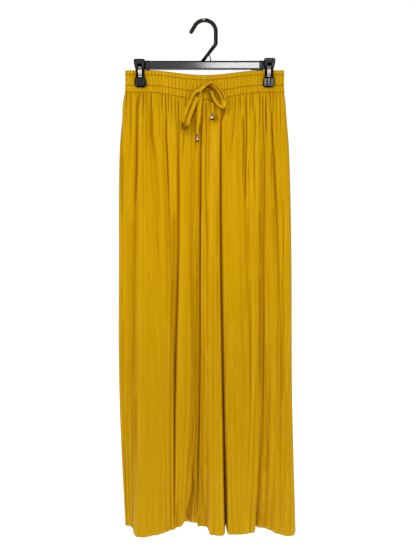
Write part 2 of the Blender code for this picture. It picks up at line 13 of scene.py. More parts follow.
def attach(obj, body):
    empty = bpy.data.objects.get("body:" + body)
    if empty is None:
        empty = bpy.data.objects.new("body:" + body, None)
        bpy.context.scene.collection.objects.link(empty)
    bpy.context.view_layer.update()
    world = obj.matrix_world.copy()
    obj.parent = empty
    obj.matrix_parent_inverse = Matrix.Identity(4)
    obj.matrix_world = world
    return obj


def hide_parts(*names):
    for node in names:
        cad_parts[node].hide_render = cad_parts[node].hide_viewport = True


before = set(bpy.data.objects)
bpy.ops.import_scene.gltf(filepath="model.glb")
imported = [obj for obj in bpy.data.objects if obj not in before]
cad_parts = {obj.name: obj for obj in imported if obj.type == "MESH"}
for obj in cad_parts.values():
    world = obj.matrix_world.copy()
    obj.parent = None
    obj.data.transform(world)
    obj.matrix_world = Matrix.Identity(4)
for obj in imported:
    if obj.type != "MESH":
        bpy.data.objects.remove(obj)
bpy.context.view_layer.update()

mm = 0.001
front, back = -1, 1
left, right = -1, 1
scene = bpy.context.scene
print("frame loaded with", len(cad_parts), "solids")


camera = {"x": 7.5, "z": -548.7, "distance": 1350, "visibleHeight": 1193.2, "sensor": 36}


def makeCamera():
    data = bpy.data.cameras.new("camera")
    data.sensor_width = camera["sensor"]
    data.lens = camera["sensor"] * camera["distance"] / camera["visibleHeight"]
    obj = bpy.data.objects.new("camera", data)
    obj.location = Vector((camera["x"], -camera["distance"], camera["z"])) * mm
    obj.rotation_euler = (pi / 2, 0, 0)
    scene.collection.objects.link(obj)
    scene.camera = obj


makeCamera()
print("camera placed")


class Wire:
    # One output of a material's node, with arithmetic that adds Math nodes.
    def __init__(self, paint, socket):
        self.paint = paint
        self.socket = socket

    def __add__(self, other):
        return self.paint.maths("ADD", self, other)

    def __rsub__(self, other):
        return self.paint.maths("SUBTRACT", other, self)

    def __mul__(self, other):
        return self.paint.maths("MULTIPLY", self, other)

    def __gt__(self, other):
        return self.paint.maths("GREATER_THAN", self, other)

    def __lt__(self, other):
        return self.paint.maths("LESS_THAN", self, other)

    __radd__ = __add__
    __rmul__ = __mul__


class Paint:
    # A material's node tree around its Principled shader.
    def __init__(self, name, constants):
        self.material = bpy.data.materials.new(name)
        self.material.use_nodes = True
        self.tree = self.material.node_tree
        self.shader = self.tree.nodes["Principled BSDF"]
        for socket, value in constants.items():
            self.feed(socket, value)

    def feed(self, socket, value, node=None):
        target = (node or self.shader).inputs[socket]
        if isinstance(value, Wire):
            self.tree.links.new(value.socket, target)
        elif target.type == "RGBA" and len(value) == 3:
            target.default_value = (*value, 1)
        else:
            target.default_value = value

    def node(self, kind, settings=None, sockets=None, output=0):
        made = self.tree.nodes.new(kind)
        for key, value in (settings or {}).items():
            if key == "stops":
                ramp = made.color_ramp.elements
                while len(ramp) < len(value):
                    ramp.new(0.5)
                for stop, (place, shade) in zip(ramp, value):
                    stop.position = place
                    stop.color = (shade, shade, shade, 1)
            else:
                setattr(made, key, value)
        for key, value in (sockets or {}).items():
            self.feed(key, value, made)
        return Wire(self, made.outputs[output])

    def maths(self, operation, a, b):
        return self.node("ShaderNodeMath", {"operation": operation}, {0: a, 1: b})

    def mix(self, share, a, b):
        return self.node("ShaderNodeMix", {"data_type": "RGBA"}, {0: share, 6: a, 7: b}, output=2)

    def place(self):
        return self.node("ShaderNodeTexCoord", output=3)

    def axis(self, letter):
        # How far along X, Y or Z of the frame, in metres.
        return self.node("ShaderNodeSeparateXYZ", sockets={0: self.place()}, output="XYZ".index(letter))

    def noise(self, scale, detail=2, stretch=(1, 1, 1)):
        stretched = self.node("ShaderNodeMapping", sockets={"Vector": self.place(), "Scale": stretch})
        return self.node("ShaderNodeTexNoise", sockets={
            "Vector": stretched, "Scale": scale, "Detail": detail})

    def ramp(self, value, *stops):
        return self.node("ShaderNodeValToRGB", {"stops": stops}, {0: value})

    def attribute(self, name):
        return self.node("ShaderNodeAttribute", {"attribute_name": name}, output=2)

    def dull(self, share, colour):
        # A matt colour in place of the shader, as far as the share says.
        matt = self.node("ShaderNodeBsdfDiffuse", sockets={"Color": colour})
        shine = Wire(self, self.shader.outputs[0])
        mixed = self.node("ShaderNodeMixShader", sockets={0: share, 1: shine, 2: matt})
        self.tree.links.new(mixed.socket, self.tree.nodes["Material Output"].inputs["Surface"])

    def bump(self, *layers):
        # Each layer is a height and the distance that it stands up, in metres.
        normal = None
        for height, distance in layers:
            sockets = {"Height": height, "Distance": distance}
            if normal:
                sockets["Normal"] = normal
            normal = self.node("ShaderNodeBump", sockets=sockets)
        self.feed("Normal", normal)


# Colours of the cloth from its lit top to its hem, shares that darken it, the colours of painted shade in
# the creases and of painted highlight on the crests, the scale of each pattern, and how far each one stands
# up, in metres.
clothLook = {
    "lit": (0.600, 0.325, 0.0012), "low": (0.495, 0.267, 0.0025), "hem": (0.550, 0.318, 0.006),
    "fades": ((-0.48, -0.76), (-0.86, -1.06)), "dusk": (0.84, 0.8, 0.6), "thread": 0.8,
    "crease": (0.235, 0.078, 0.0002), "crest": (0.72, 0.415, 0.012), "crestShare": 0.6,
    "sheenTint": (1.0, 0.76, 0.06), "shineTint": (1.0, 0.78, 0.08), "calming": 0.8,
    "mottle": 9, "streak": 330, "broad": 130, "crinkle": 420, "weave": 1500,
    "broadRise": 0.0009, "crinkleRise": 0.00035, "weaveRise": 0.00006,
}


def clothPaint(name, lift=1.0, deep=clothLook["crease"], crestShare=clothLook["crestShare"]):
    # Pleated crepe: fine upright crinkles, a pebbled weave, painted shade down in the creases and painted
    # highlight on the crests.
    look = clothLook
    paint = Paint(name, {
        "Sheen Weight": 0.1, "Sheen Roughness": 0.4, "Sheen Tint": look["sheenTint"],
        "Specular IOR Level": 0.12, "Specular Tint": look["shineTint"]})
    lit = tuple(channel * lift for channel in look["lit"])
    dusk = tuple(channel * share for channel, share in zip(lit, look["dusk"]))
    colour = lit
    for (top, bottom), shade in zip(look["fades"], (look["low"], look["hem"])):
        fade = paint.node("ShaderNodeMapRange", sockets={
            "Value": paint.axis("Z"), "From Min": top, "From Max": bottom})
        colour = paint.mix(fade, colour, shade)
    mottle = paint.noise(look["mottle"], 3, (1, 1, 0.25))
    colour = paint.mix(paint.ramp(mottle, (0.35, 0.36), (0.7, 0)), colour, dusk)
    streak = paint.noise(look["streak"], 2, (1, 1, 0.03))
    ruffled = 1 - look["calming"] * paint.attribute("calm")
    colour = paint.mix(ruffled * paint.ramp(streak, (0.34, 0.4), (0.5, 0)), colour, dusk)
    colour = paint.mix(ruffled * paint.ramp(streak, (0.52, 0), (0.7, 0.5)), colour, look["crest"])
    # Painted shade where the crease attribute marks hollows and shadows, painted highlight where the crest
    # attribute marks crests.
    colour = paint.mix(paint.attribute("crease"), colour, deep)
    colour = paint.mix(paint.attribute("crest") * crestShare, colour, look["crest"])
    weave = paint.noise(look["weave"], 2)
    thread = tuple(channel * look["thread"] for channel in lit)
    paint.feed("Base Color", paint.mix(paint.ramp(weave, (0.3, 0.22), (0.62, 0)), colour, thread))
    crinkle = paint.noise(look["crinkle"], 3, (1, 1, 0.035))
    broad = paint.noise(look["broad"], 2, (1, 1, 0.06))
    paint.feed("Roughness", 0.66 + 0.14 * crinkle)
    paint.bump((ruffled * broad, look["broadRise"]), (ruffled * crinkle, look["crinkleRise"]),
               (weave, look["weaveRise"]))
    return paint.material


def threadPaint(name, dark, pale, constants):
    paint = Paint(name, constants)
    ply = paint.noise(2600, 1)
    paint.feed("Base Color", paint.mix(ply, dark, pale))
    paint.bump((ply, 0.00008))
    return paint.material


# The rim colour is painted shade, deep black over the bar's upper rim; the clips' edge colour is the painted
# shade of their edges and hollows.
plasticLook = {
    "hook": (0.006, 0.006, 0.006), "face": (0.024, 0.024, 0.026), "rim": (0.0008, 0.0008, 0.0008),
    "rimZ": (-86.6, -78), "faceHalf": 117.8, "paleSpot": (0.42, 0.33, 0.19), "paleSpotAt": (-1.8, -3.5, 6),
    "clipEdgeShade": (0.0015, 0.0015, 0.0016),
}


def hangerPaint():
    # Glossy moulded black with painted shade, deep black and matt, on its upper rim, faint flow lines, and a
    # pale brownish spot on the hook's top, where it hangs.
    look = plasticLook
    paint = Paint("moulded black", {"Specular IOR Level": 0.12, "Coat Roughness": 0.13})
    height, across = paint.axis("Z"), paint.axis("X")
    rimBottom, rimTop = (z * mm for z in look["rimZ"])
    onRim = (height > rimBottom) * (height < rimTop)
    below = height < rimBottom
    onFace = below * (across < look["faceHalf"] * mm) * (across > -look["faceHalf"] * mm)
    # Painted shade: the upper rim is deep black.
    colour = paint.mix(onRim, paint.mix(below, look["hook"], look["face"]), look["rim"])
    spot = paint.node("ShaderNodeVectorMath", {"operation": "DISTANCE"},
                      {0: paint.place(), 1: tuple(v * mm for v in look["paleSpotAt"])}, output=1)
    paintedTone = paint.ramp(spot * 100 + 0.35 * paint.noise(900), (0.42, 1), (0.6, 0))
    paint.feed("Base Color", paint.mix(paintedTone, colour, look["paleSpot"]))
    flow = paint.noise(55, 4, (0.25, 1, 3.2))
    speck = paint.noise(1400, 2)
    paint.feed("Roughness", 0.34 + 0.12 * flow)
    paint.feed("Coat Weight", 0.12 + 0.88 * onFace)
    paint.bump((flow, 0.00003), (speck, 0.000004))
    paint.dull(onRim, look["rim"])
    return paint.material


def clipPaint(name, dark, pale, coat):
    # Satin black with painted shade: deep black and dull where the piece's edges and hollows are marked.
    paint = Paint(name, {"Specular IOR Level": 0.1, "Coat Weight": coat, "Coat Roughness": 0.16})
    edge = paint.attribute("crease")
    cloud = paint.noise(120, 3)
    paint.feed("Base Color", paint.mix(cloud, dark, pale))
    paint.feed("Roughness", 0.36 + 0.16 * cloud)
    paint.bump((paint.noise(1800, 2), 0.000012))
    paint.dull(edge, plasticLook["clipEdgeShade"])
    return paint.material


def springPaint():
    paint = Paint("spring steel", {"Metallic": 1.0})
    brushed = paint.noise(260, 3, (12, 1, 0.6))
    steel = paint.mix(brushed, (0.46, 0.45, 0.38), (0.74, 0.72, 0.62))
    # Painted shade: the steel turns dark where the crease attribute marks it.
    paint.feed("Base Color", paint.mix(paint.attribute("crease"), steel, (0.05, 0.047, 0.034)))
    paint.feed("Roughness", 0.32 + 0.2 * brushed)
    paint.bump((brushed, 0.00005))
    return paint.material


def nickelPaint():
    paint = Paint("dark nickel", {"Metallic": 1.0})
    smudge = paint.noise(420, 3)
    bright = paint.mix(smudge, (0.72, 0.70, 0.62), (0.9, 0.88, 0.8))
    # Painted shade: the metal ends turn dark where the crease attribute marks them.
    paint.feed("Base Color", paint.mix(paint.attribute("crease"), bright, (0.014, 0.010, 0.008)))
    paint.feed("Roughness", 0.22 + 0.16 * smudge)
    return paint.material


clothMaterial = clothPaint("mustard crepe")
bandMaterial = clothPaint("mustard casing", lift=0.89, crestShare=1.0)
# The strap's crease colour is its painted shade, darker and redder than the crepe's.
strapMaterial = clothPaint("mustard strap", lift=0.97, deep=(0.110, 0.021, 0.0002), crestShare=0.9)
threadMaterial = threadPaint("stitching thread", (0.15, 0.050, 0.001), (0.24, 0.095, 0.002),
                             {"Roughness": 0.7, "Specular IOR Level": 0.04})
edgeThreadMaterial = threadPaint("hem thread", (0.56, 0.335, 0.014), (0.68, 0.43, 0.022),
                                 {"Roughness": 0.62, "Sheen Weight": 0.2, "Specular IOR Level": 0.25})
hangerMaterial = hangerPaint()
clipMaterial = clipPaint("clip black", (0.016, 0.016, 0.016), (0.030, 0.030, 0.031), 0.12)
gripMaterial = clipPaint("clip grip", (0.024, 0.024, 0.024), (0.034, 0.034, 0.035), 0.6)
springMaterial = springPaint()
nickelMaterial = nickelPaint()
print("materials made")


def ease(t):
    t = np.clip(t, 0, 1)
    return t * t * (3 - 2 * t)


def bell(value, middle, width, power=2):
    # 1 at the middle, fading to nothing past the width on both sides.
    return np.exp(-np.abs((value - middle) / width) ** power)


latticeSize = 97


def drift(u, v, seed):
    # Smooth random values from 0 to 1 over two coordinates, one step of the lattice a unit.
    lattice = np.random.default_rng(seed).random((latticeSize, latticeSize))
    u, v = np.broadcast_arrays(np.asarray(u, float), np.asarray(v, float))
    iu, iv = np.floor(u).astype(int), np.floor(v).astype(int)
    tu, tv = ease(u - iu), ease(v - iv)

    def at(a, b):
        return lattice[(iu + a) % latticeSize, (iv + b) % latticeSize]

    low = at(0, 0) * (1 - tu) + at(1, 0) * tu
    high = at(0, 1) * (1 - tu) + at(1, 1) * tu
    return low * (1 - tv) + high * tv


def tableAt(value, table):
    return np.interp(value, *zip(*table))


def downTable(z, table):
    # The table's value at height z, where the table runs from high to low.
    heights, values = zip(*table)
    return np.interp(-z, -np.array(heights), values)


def unitRows(rows):
    return rows / np.linalg.norm(rows, axis=1)[:, None]


def newObject(name, mesh, material, sharpAngle=None):
    mesh.shade_smooth()
    if sharpAngle:
        mesh.set_sharp_from_angle(angle=radians(sharpAngle))
    obj = bpy.data.objects.new(name, mesh)
    scene.collection.objects.link(obj)
    mesh.materials.clear()
    mesh.materials.append(material)
    return obj


def standFor(obj, node):
    # The piece rides on the garment's one body, in place of its solid.
    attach(obj, "root")
    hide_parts(node)


def meshFrom(name, points, faces=(), edges=()):
    mesh = bpy.data.meshes.new(name)
    mesh.from_pydata((np.asarray(points, float) * mm).tolist(), edges, faces)
    mesh.update()
    return mesh


def gridFaces(rows, columns, flip=False):
    # Quads of a grid of points, row by row.
    faces = []
    for r in range(rows - 1):
        for c in range(columns - 1):
            a = r * columns + c
            quad = (a, a + 1, a + columns + 1, a + columns)
            faces.append(quad[::-1] if flip else quad)
    return faces


def tubeFaces(rows, columns):
    # Quads of a grid that closes on itself, with a face over each end.
    faces = []
    for r in range(rows - 1):
        for c in range(columns):
            after = (c + 1) % columns
            here, below = r * columns, (r + 1) * columns
            faces.append((here + c, here + after, below + after, below + c))
    last = (rows - 1) * columns
    return faces + [tuple(range(columns)), tuple(range(last, last + columns))]


def outwards(mesh):
    shape = bmesh.new()
    shape.from_mesh(mesh)
    bmesh.ops.remove_doubles(shape, verts=shape.verts, dist=0.00001)
    bmesh.ops.recalc_face_normals(shape, faces=shape.faces)
    shape.to_mesh(mesh)
    shape.free()
    return mesh


def plain(obj):
    # The object keeps what its modifiers make of it, as an ordinary mesh.
    bpy.context.view_layer.update()
    evaluated = obj.evaluated_get(bpy.context.evaluated_depsgraph_get())
    mesh = bpy.data.meshes.new_from_object(evaluated)
    obj.modifiers.clear()
    obj.data = mesh


def paintShading(mesh, crease, crest=0, calm=0):
    # The share of painted shade (crease) and painted highlight (crest) that the material finds at each point,
    # and how smooth the cloth hangs.
    for key, values in (("crease", crease), ("crest", crest), ("calm", calm)):
        values = np.clip(values + 0 * crease, 0, 1)
        mesh.attributes.new(key, "FLOAT", "POINT").data.foreach_set("value", values.ravel())


def clothShell(name, node, surface, paintedTone, wall, flip, material):
    # A thin wall of cloth behind a grid of points.
    rows, columns = surface.shape[:2]
    mesh = meshFrom(name, surface.reshape(-1, 3), gridFaces(rows, columns, flip))
    paintShading(mesh, *paintedTone)
    obj = newObject(name, mesh, material)
    solidify = obj.modifiers.new("wall", "SOLIDIFY")
    solidify.thickness = wall * mm
    solidify.offset = -1
    solidify.use_rim = True
    standFor(obj, node)
    return obj


# The drawstring bow: turned straps of the pants' own cloth. Each path runs from the knot; widths
# and leans (degrees that the strap turns out of the front's plane) are given at shares of its length.
bow = {
    "wall": 1.5, "step": 1.1, "sides": 52, "fullness": (0.55, 0.75), "curl": 0.55, "wrinkle": 0.34,
    "pressed": 0.5, "lineEnds": (0.04, 0.06), "fold": 0.22, "crest": 0.9,
    "knotCentre": (-3.1, -15.2, -145.2), "knotHalf": (7.8, 5.4, 5.8), "knotTilt": -38, "wrapHalf": 3.9,
    "knotRows": 64, "knotSides": 96, "wrapRise": 0.55, "wrapGroove": 1.3, "pleatRise": 0.22, "foldRise": 0.4,
}
# A line pressed along a strap, with painted shade in it: the shares of its length where it starts and
# ends, its place across from -1 to 1, how dark its painted shade is, and its half width.
Line = namedtuple("Line", "start end across dark half")
leftLoop = {
    "far": "object", "seed": 21,
    "path": ((-5.5, -15.6, -149.2), (-11, -17.4, -150.6), (-17.5, -19.8, -152.6), (-24, -22.3, -161),
             (-29.1, -24.5, -174.5), (-35.5, -26, -190.5), (-42, -27.2, -207.5), (-45, -28.2, -225),
             (-43.4, -28, -234.6), (-38.6, -27, -235), (-34.5, -25.8, -224.5), (-29.6, -24.2, -208.5),
             (-23.5, -22, -190.5), (-16.8, -19.3, -172.5), (-11, -16.6, -157), (-8, -15.2, -151)),
    "width": ((0, 7), (0.08, 8.6), (0.2, 9), (0.42, 9.6), (0.52, 10.6), (0.6, 10.8), (0.84, 11.4), (1, 7.6)),
    "lean": ((0, 4), (0.2, 20), (0.38, 20), (0.5, 46), (0.6, 24), (0.8, 6), (1, 0)),
    "lines": (Line(0.1, 0.5, 0.98, 1.0, 0.42), Line(0.02, 0.22, -0.95, 0.9, 0.3),
              Line(0.45, 0.59, 0.1, 0.85, 1.5), Line(0.62, 0.86, -0.95, 1.0, 0.44),
              Line(0.56, 0.94, 0.98, 0.8, 0.25), Line(0.91, 1.01, 0.4, 1.0, 0.9)),
}
rightLoop = {
    "far": "object", "seed": 22,
    "path": ((-0.5, -15.6, -144.6), (3.4, -17.6, -142.4), (7.5, -19.2, -140.4), (13, -21.4, -139.4),
             (21.6, -24, -145.2), (30.9, -26, -155.8), (38.2, -27.5, -169.5), (41.3, -28, -181),
             (39.6, -27.9, -187.4), (34.4, -26.6, -187.8), (28.6, -24.8, -182), (22.4, -22.8, -172.8),
             (17.4, -20.9, -162), (14.3, -18.7, -151.5), (10.4, -16.8, -147), (3.5, -15, -146.6)),
    "width": ((0, 7), (0.08, 7.6), (0.16, 9), (0.34, 13), (0.42, 13), (0.5, 10), (0.6, 9.6), (0.75, 9.6),
              (0.88, 8.6), (1, 6.4)),
    "lean": ((0, 10), (0.15, 16), (0.4, 10), (0.56, -8), (0.7, -12), (0.86, -10), (1, 0)),
    "lines": (Line(0.1, 0.47, 0.3, 1.0, 0.28), Line(0.08, 0.46, -0.98, 1.0, 0.36),
              Line(0.0, 0.16, -0.6, 1.0, 0.7), Line(0.56, 0.97, 0.98, 1.0, 0.34),
              Line(0.6, 0.86, -0.98, 0.9, 0.3), Line(0.88, 1.01, -0.2, 1.0, 1.2)),
}
leftTail = {
    "far": "fitting", "seed": 23,
    "path": ((-7.6, -13.2, -151), (-8.8, -14, -160), (-10.4, -16.8, -178.3), (-11.8, -19.4, -198),
             (-13.2, -21.4, -217.5), (-14.3, -22.3, -235.3), (-14.7, -22.4, -242), (-14.7, -22.4, -246.3)),
    "width": ((0, 9), (0.3, 11.4), (0.6, 10.4), (0.85, 8.4), (0.96, 7), (1, 5.6)),
    "lean": ((0, 0), (0.4, 8), (1, 0)),
    "lines": (Line(0.0, 0.07, 0, 0.9, 0.9), Line(0.1, 0.98, -0.98, 0.6, 0.26),
              Line(0.2, 0.98, 0.98, 0.6, 0.26), Line(0.76, 0.98, 0.98, 1.0, 0.4)),
}
rightTail = {
    "far": "fitting", "seed": 24,
    "path": ((2, -13.2, -149), (8, -14, -154), (13, -16, -164), (15.6, -19.4, -178), (16.5, -22.6, -190),
             (16.5, -23.8, -196.5), (16.5, -23.8, -200.9)),
    "width": ((0, 7.4), (0.5, 8.6), (0.85, 8), (0.95, 6.8), (1, 5.6)),
    "lean": ((0, 0), (0.5, 6), (1, 0)),
    "lines": (Line(0.0, 0.62, 0, 0.8, 0.9), Line(0.3, 0.98, -0.98, 0.8, 0.3),
              Line(0.3, 0.98, 0.98, 0.6, 0.3)),
}
# Radius and drop of the turned metal ends, from the cup round the strap to the foot, and how much painted
# shade each takes at a drop.
metalEnd = (
    (0.1, 0.1), (2.0, 0.1), (2.45, 0.5), (2.5, 1.0), (2.15, 1.5), (1.85, 2.2), (1.75, 3.6), (1.8, 5.0),
    (2.3, 5.6), (2.65, 6.0), (2.7, 6.5), (2.3, 7.0), (2.6, 8.0), (3.15, 9.6), (3.5, 11.2), (3.55, 12.6),
    (3.35, 13.8), (3.15, 14.5), (2.7, 14.9), (1.9, 15.1), (0.9, 15.15), (0.1, 15.15),
)
metalShade = ((0, 0.75), (5.6, 0.65), (7.2, 0.5), (8.2, 0), (11.6, 0), (12.6, 0.95), (15.4, 1))
metalSides = 40


def smoothPath(points, step):
    # Even points about a step apart on a smooth curve through the given ones, and its length.
    p = np.array([points[0], *points, points[-1]], float)
    t = np.linspace(0, 1, 24, endpoint=False)[:, None]
    run = [0.5 * (2 * b + (c - a) * t + (2 * a - 5 * b + 4 * c - d) * t ** 2
                  + (3 * b - a - 3 * c + d) * t ** 3)
           for a, b, c, d in zip(p, p[1:], p[2:], p[3:])]
    run = np.concatenate(run + [p[-1:]])
    along = np.concatenate([[0], np.cumsum(np.linalg.norm(np.diff(run, axis=0), axis=1))])
    even = np.linspace(0, along[-1], round(along[-1] / step) + 1)
    return np.stack([np.interp(even, along, run[:, k]) for k in range(3)], 1), along[-1]


def pressedLines(lines, share, rimX):
    # How much painted shade the lines pressed along a strap take, by its length and its place across.
    dark = np.zeros_like(rimX * share)
    startFade, endFade = bow["lineEnds"]
    for line in lines:
        fade = ease((share - line.start) / startFade + 0.5) * ease((line.end - share) / endFade + 0.5)
        dark = np.maximum(dark, line.dark * fade * bell(rimX, line.across, line.half, 3))
    return dark


def makeStrap(name, node, strap):
    # A flat turned tube of cloth: full at its edges, a little crowned, and wrinkled by hand-tying.
    path, length = smoothPath(strap["path"], bow["step"])
    share = np.linspace(0, 1, len(path))[:, None]
    along = unitRows(np.gradient(path, axis=0))
    across = unitRows(np.cross(along, (0, 1, 0)))
    outward = np.cross(across, along)
    turn = np.radians(tableAt(share, strap["lean"]))
    wide = across * np.cos(turn) + outward * np.sin(turn)
    flat = outward * np.cos(turn) - across * np.sin(turn)
    angle = np.linspace(0, 2 * pi, bow["sides"], endpoint=False)[None, :]
    rimX, rimY = (np.sign(part) * np.abs(part) ** power
                  for part, power in zip((np.cos(angle), np.sin(angle)), bow["fullness"]))
    half = tableAt(share, strap["width"]) / 2
    seed, run = strap["seed"], share * length
    crumple = drift(run / 7, rimX * 1.6 + 9, seed) + 0.6 * drift(run / 3.2, rimX * 3 + 9, seed + 50) - 0.8
    folded = np.abs((run / 19 + rimX * 0.45 + drift(run / 30, 0, seed)) % 1 - 0.5) < 0.07
    dark = pressedLines(strap["lines"], share, rimX)
    lift = (bow["curl"] * (1 - rimX ** 2) + bow["wrinkle"] * crumple - bow["fold"] * folded
            - bow["pressed"] * dark)
    thick = bow["wall"] / 2 * rimY * (0.85 + 0.35 * np.abs(rimX) ** 3)
    points = (path[:, None] + wide[:, None] * (half * rimX)[..., None]
              + flat[:, None] * (thick - lift)[..., None])
    mesh = meshFrom(name, points.reshape(-1, 3), tubeFaces(*points.shape[:2]))
    # Painted shade along the pressed lines, and a painted highlight along one side of the strap.
    paintShading(mesh, dark, bow["crest"] * bell(rimX, 0.55, 0.25) * (1 - dark))
    obj = newObject(name, outwards(mesh), strapMaterial)
    standFor(obj, node)


def makeMetalEnd(name, node, strap):
    top = np.array(strap["path"][-1]) - (0, 0, 0.3)
    radius, drop = (np.array(column)[:, None] for column in zip(*metalEnd))
    angle = np.linspace(0, 2 * pi, metalSides, endpoint=False)[None, :]
    points = np.stack([radius * np.cos(angle), radius * np.sin(angle), -drop + 0 * angle], -1) + top
    mesh = meshFrom(name, points.reshape(-1, 3), tubeFaces(*points.shape[:2]))
    paintShading(mesh, tableAt(drop + 0 * angle, metalShade))
    obj = newObject(name, outwards(mesh), nickelMaterial)
    standFor(obj, node)
    return obj


def makeKnot(name, node):
    # One turn of the strap pulled tight over the two that pass under it.
    around = np.linspace(0, 2 * pi, bow["knotSides"], endpoint=False)[None, :]
    down = np.linspace(0.02, pi - 0.02, bow["knotRows"])[:, None]
    ball = np.stack([np.cos(down) * np.ones_like(around), np.sin(down) * np.sin(around),
                     np.sin(down) * np.cos(around)], -1)
    place = ball * np.array(bow["knotHalf"])
    x, z = place[..., 0], place[..., 2]
    offWrap = np.abs(z) / bow["wrapHalf"]
    onWrap = ease((1.06 - offWrap) / 0.14)
    groove = bell(offWrap, 1.12, 0.13)
    pleat = np.sin(z * 2.1 + 1.4 * drift(x / 4 + 9, z / 3 + 9, 31))
    fold = np.sin(x * 1.3 + z * 0.9 + 3 * drift(x / 5 + 9, 0, 33))
    rise = (bow["wrapRise"] * onWrap - bow["wrapGroove"] * groove + bow["pleatRise"] * pleat * onWrap
            + bow["foldRise"] * fold * (1 - onWrap))
    x, y, z = np.moveaxis(place + ball * rise[..., None], -1, 0)
    turn = radians(bow["knotTilt"])
    points = np.stack([x * cos(turn) + z * sin(turn), y, z * cos(turn) - x * sin(turn)], -1)
    points = points + bow["knotCentre"]
    mesh = meshFrom(name, points.reshape(-1, 3), tubeFaces(*points.shape[:2]))
    # Painted shade in the grooves beside the wrap, on the straps outside it and in its pleats, and a painted
    # highlight along the middle of the wrap.
    paintShading(mesh, 1.3 * groove + 0.95 * (1 - onWrap) + 0.5 * (pleat < -0.5) * onWrap,
         0.8 * onWrap * bell(offWrap, 0.35, 0.4))
    standFor(newObject(name, outwards(mesh), strapMaterial), node)


metalLeft = makeMetalEnd("metalEndLeft", "cord_end_left", leftTail)
metalRight = makeMetalEnd("metalEndRight", "cord_end_right", rightTail)
makeStrap("tieLoopLeft", "tie_loop_left", leftLoop)
makeStrap("tieLoopRight", "tie_loop_right", rightLoop)
makeStrap("tieTailLeft", "tie_tail_left", leftTail)
makeStrap("tieTailRight", "tie_tail_right", rightTail)
makeKnot("tieKnotWrap", "tie_knot")
print("drawstring bow made")


# The casing. The clips hold it flat from the first to the second distance of clamped, off the middle.
band = {
    "leftX": -170.4, "rightX": 171.0, "wall": 2.0, "depth": 2.65, "groove": 0.75, "puff": 0.55,
    "topZ": -103.6, "seamZ": -150.4, "topSag": 12.2, "seamSag": 17.4, "slack": 7.0, "slackHalfSpan": 124,
    "ripplePitch": 7.4, "rippleRise": 1.35, "finePitch": 3.1, "fineRise": 0.35, "tightShare": 0.25,
    "clamped": (125, 153), "headingX": (4, 32), "headingCalm": (0.2, 0.5), "wobble": 0.5,
    "stitchRows": (0.21, 0.69), "stitchHalf": 0.028, "channelEnds": (-0.02, 1.14), "edgeShare": 0.035,
    "edgeRound": 1.3, "joinX": -1.3, "joinRise": 0.5, "besideX": -3.4, "besideFall": 0.6,
    "markX": 8.6, "columns": 560, "rows": 44,
}


def slack(x):
    return np.where(np.abs(x) > band["slackHalfSpan"], 0, 0.5 + 0.5 * np.cos(pi * x / band["slackHalfSpan"]))


def bandTopZ(x):
    return band["topZ"] - band["topSag"] * slack(x)


def bandSeamZ(x):
    return band["seamZ"] - band["seamSag"] * slack(x)


def bandDepth(x):
    return band["depth"] + band["slack"] * slack(x)


def rippleAt(x, share, side):
    # Uneven upright ripples of the shirred band: sharp valleys between rounded ridges.
    seed = 11 if side == front else 12
    wander = 0.55 * drift(x / 31, share * 1.5, seed) + 0.45 * drift(x / 9, share * 3.2, seed + 20)
    ridge = np.abs(np.cos(pi * (x / band["ripplePitch"] + 1.5 * wander))) ** 0.7
    strength = 0.25 + 1.1 * drift(x / 16, share * 2.2, seed + 40)
    fine = np.abs(np.cos(pi * (x / band["finePitch"] + 0.9 * drift(x / 12, share * 4, seed + 60)))) ** 0.8
    return ((ridge - 1) * band["rippleRise"] * strength
            + (fine - 1) * band["fineRise"] * drift(x / 22, share * 3, seed + 80))


def bandSurface(x, share, side):
    # Outer points of the casing: channels that puff out between the sunken stitch rows.
    top, seam = bandTopZ(x), bandSeamZ(x)
    z = top + (seam - top) * share
    above, below = band["channelEnds"]
    edges = (above, *band["stitchRows"], below)
    puff = np.zeros_like(x)
    for low, high in zip(edges, edges[1:]):
        inside = np.clip((share - low) / (high - low), 0, 1)
        puff = np.maximum(puff, np.sin(pi * inside) ** 0.6 * (inside > 0) * (inside < 1))
    inner, outer = band["clamped"]
    loose = ease((inner - np.abs(x)) / 10) + ease((np.abs(x) - outer) / 6)
    calmed, calmedMore = band["headingCalm"]
    heading = 1 - (share < band["stitchRows"][0]) * (calmed + calmedMore * bell(x, *band["headingX"]))
    depth = bandDepth(x) - band["groove"] * (1 - puff) + band["puff"] * puff * loose
    tight = band["tightShare"]
    ripple = rippleAt(x, share, side) * (tight + (1 - tight) * puff) * heading * (tight + (1 - tight) * loose)
    depth = depth + ripple
    depth = depth - band["edgeRound"] * ease((band["edgeShare"] - share) / band["edgeShare"])
    wobble = band["wobble"] * (drift(x / 15, share, 5) - 0.5) * ease(share / 0.1)
    if side == front:
        depth = depth + band["joinRise"] * bell(x, band["joinX"], 1.1)
        depth = depth - band["besideFall"] * bell(x, band["besideX"], 0.7)
    return np.stack([x, side * depth, z + wobble], axis=-1)


def creaseFrom(depth, reach, full):
    # How deep each point lies below the cloth round it, across a row: 0 on ridges, 1 in full creases.
    padded = np.pad(depth, ((0, 0), (reach, reach)), mode="edge")
    total = np.cumsum(np.pad(padded, ((0, 0), (1, 0))), axis=1)
    mean = (total[:, 2 * reach + 1:] - total[:, :-2 * reach - 1]) / (2 * reach + 1)
    return np.clip((mean - depth) / full, 0, 1)


# Painted shadow that the knot and the loops cast on the casing behind them: x and z down a line, and its half
# width.
bowShade = {"run": ((11, -136.5), (6.4, -142), (1.1, -148.4), (-4, -154.8), (-6, -162)), "half": 2.0}


def shadeOfBow(x, z):
    total = np.zeros_like(x)
    for start, end in zip(bowShade["run"], bowShade["run"][1:]):
        start, step = np.array(start), np.subtract(end, start)
        share = np.clip(((x - start[0]) * step[0] + (z - start[1]) * step[1]) / (step @ step), 0, 1)
        off = np.hypot(x - start[0] - share * step[0], z - start[1] - share * step[1])
        total = np.maximum(total, bell(off, 0, bowShade["half"], 4))
    return total


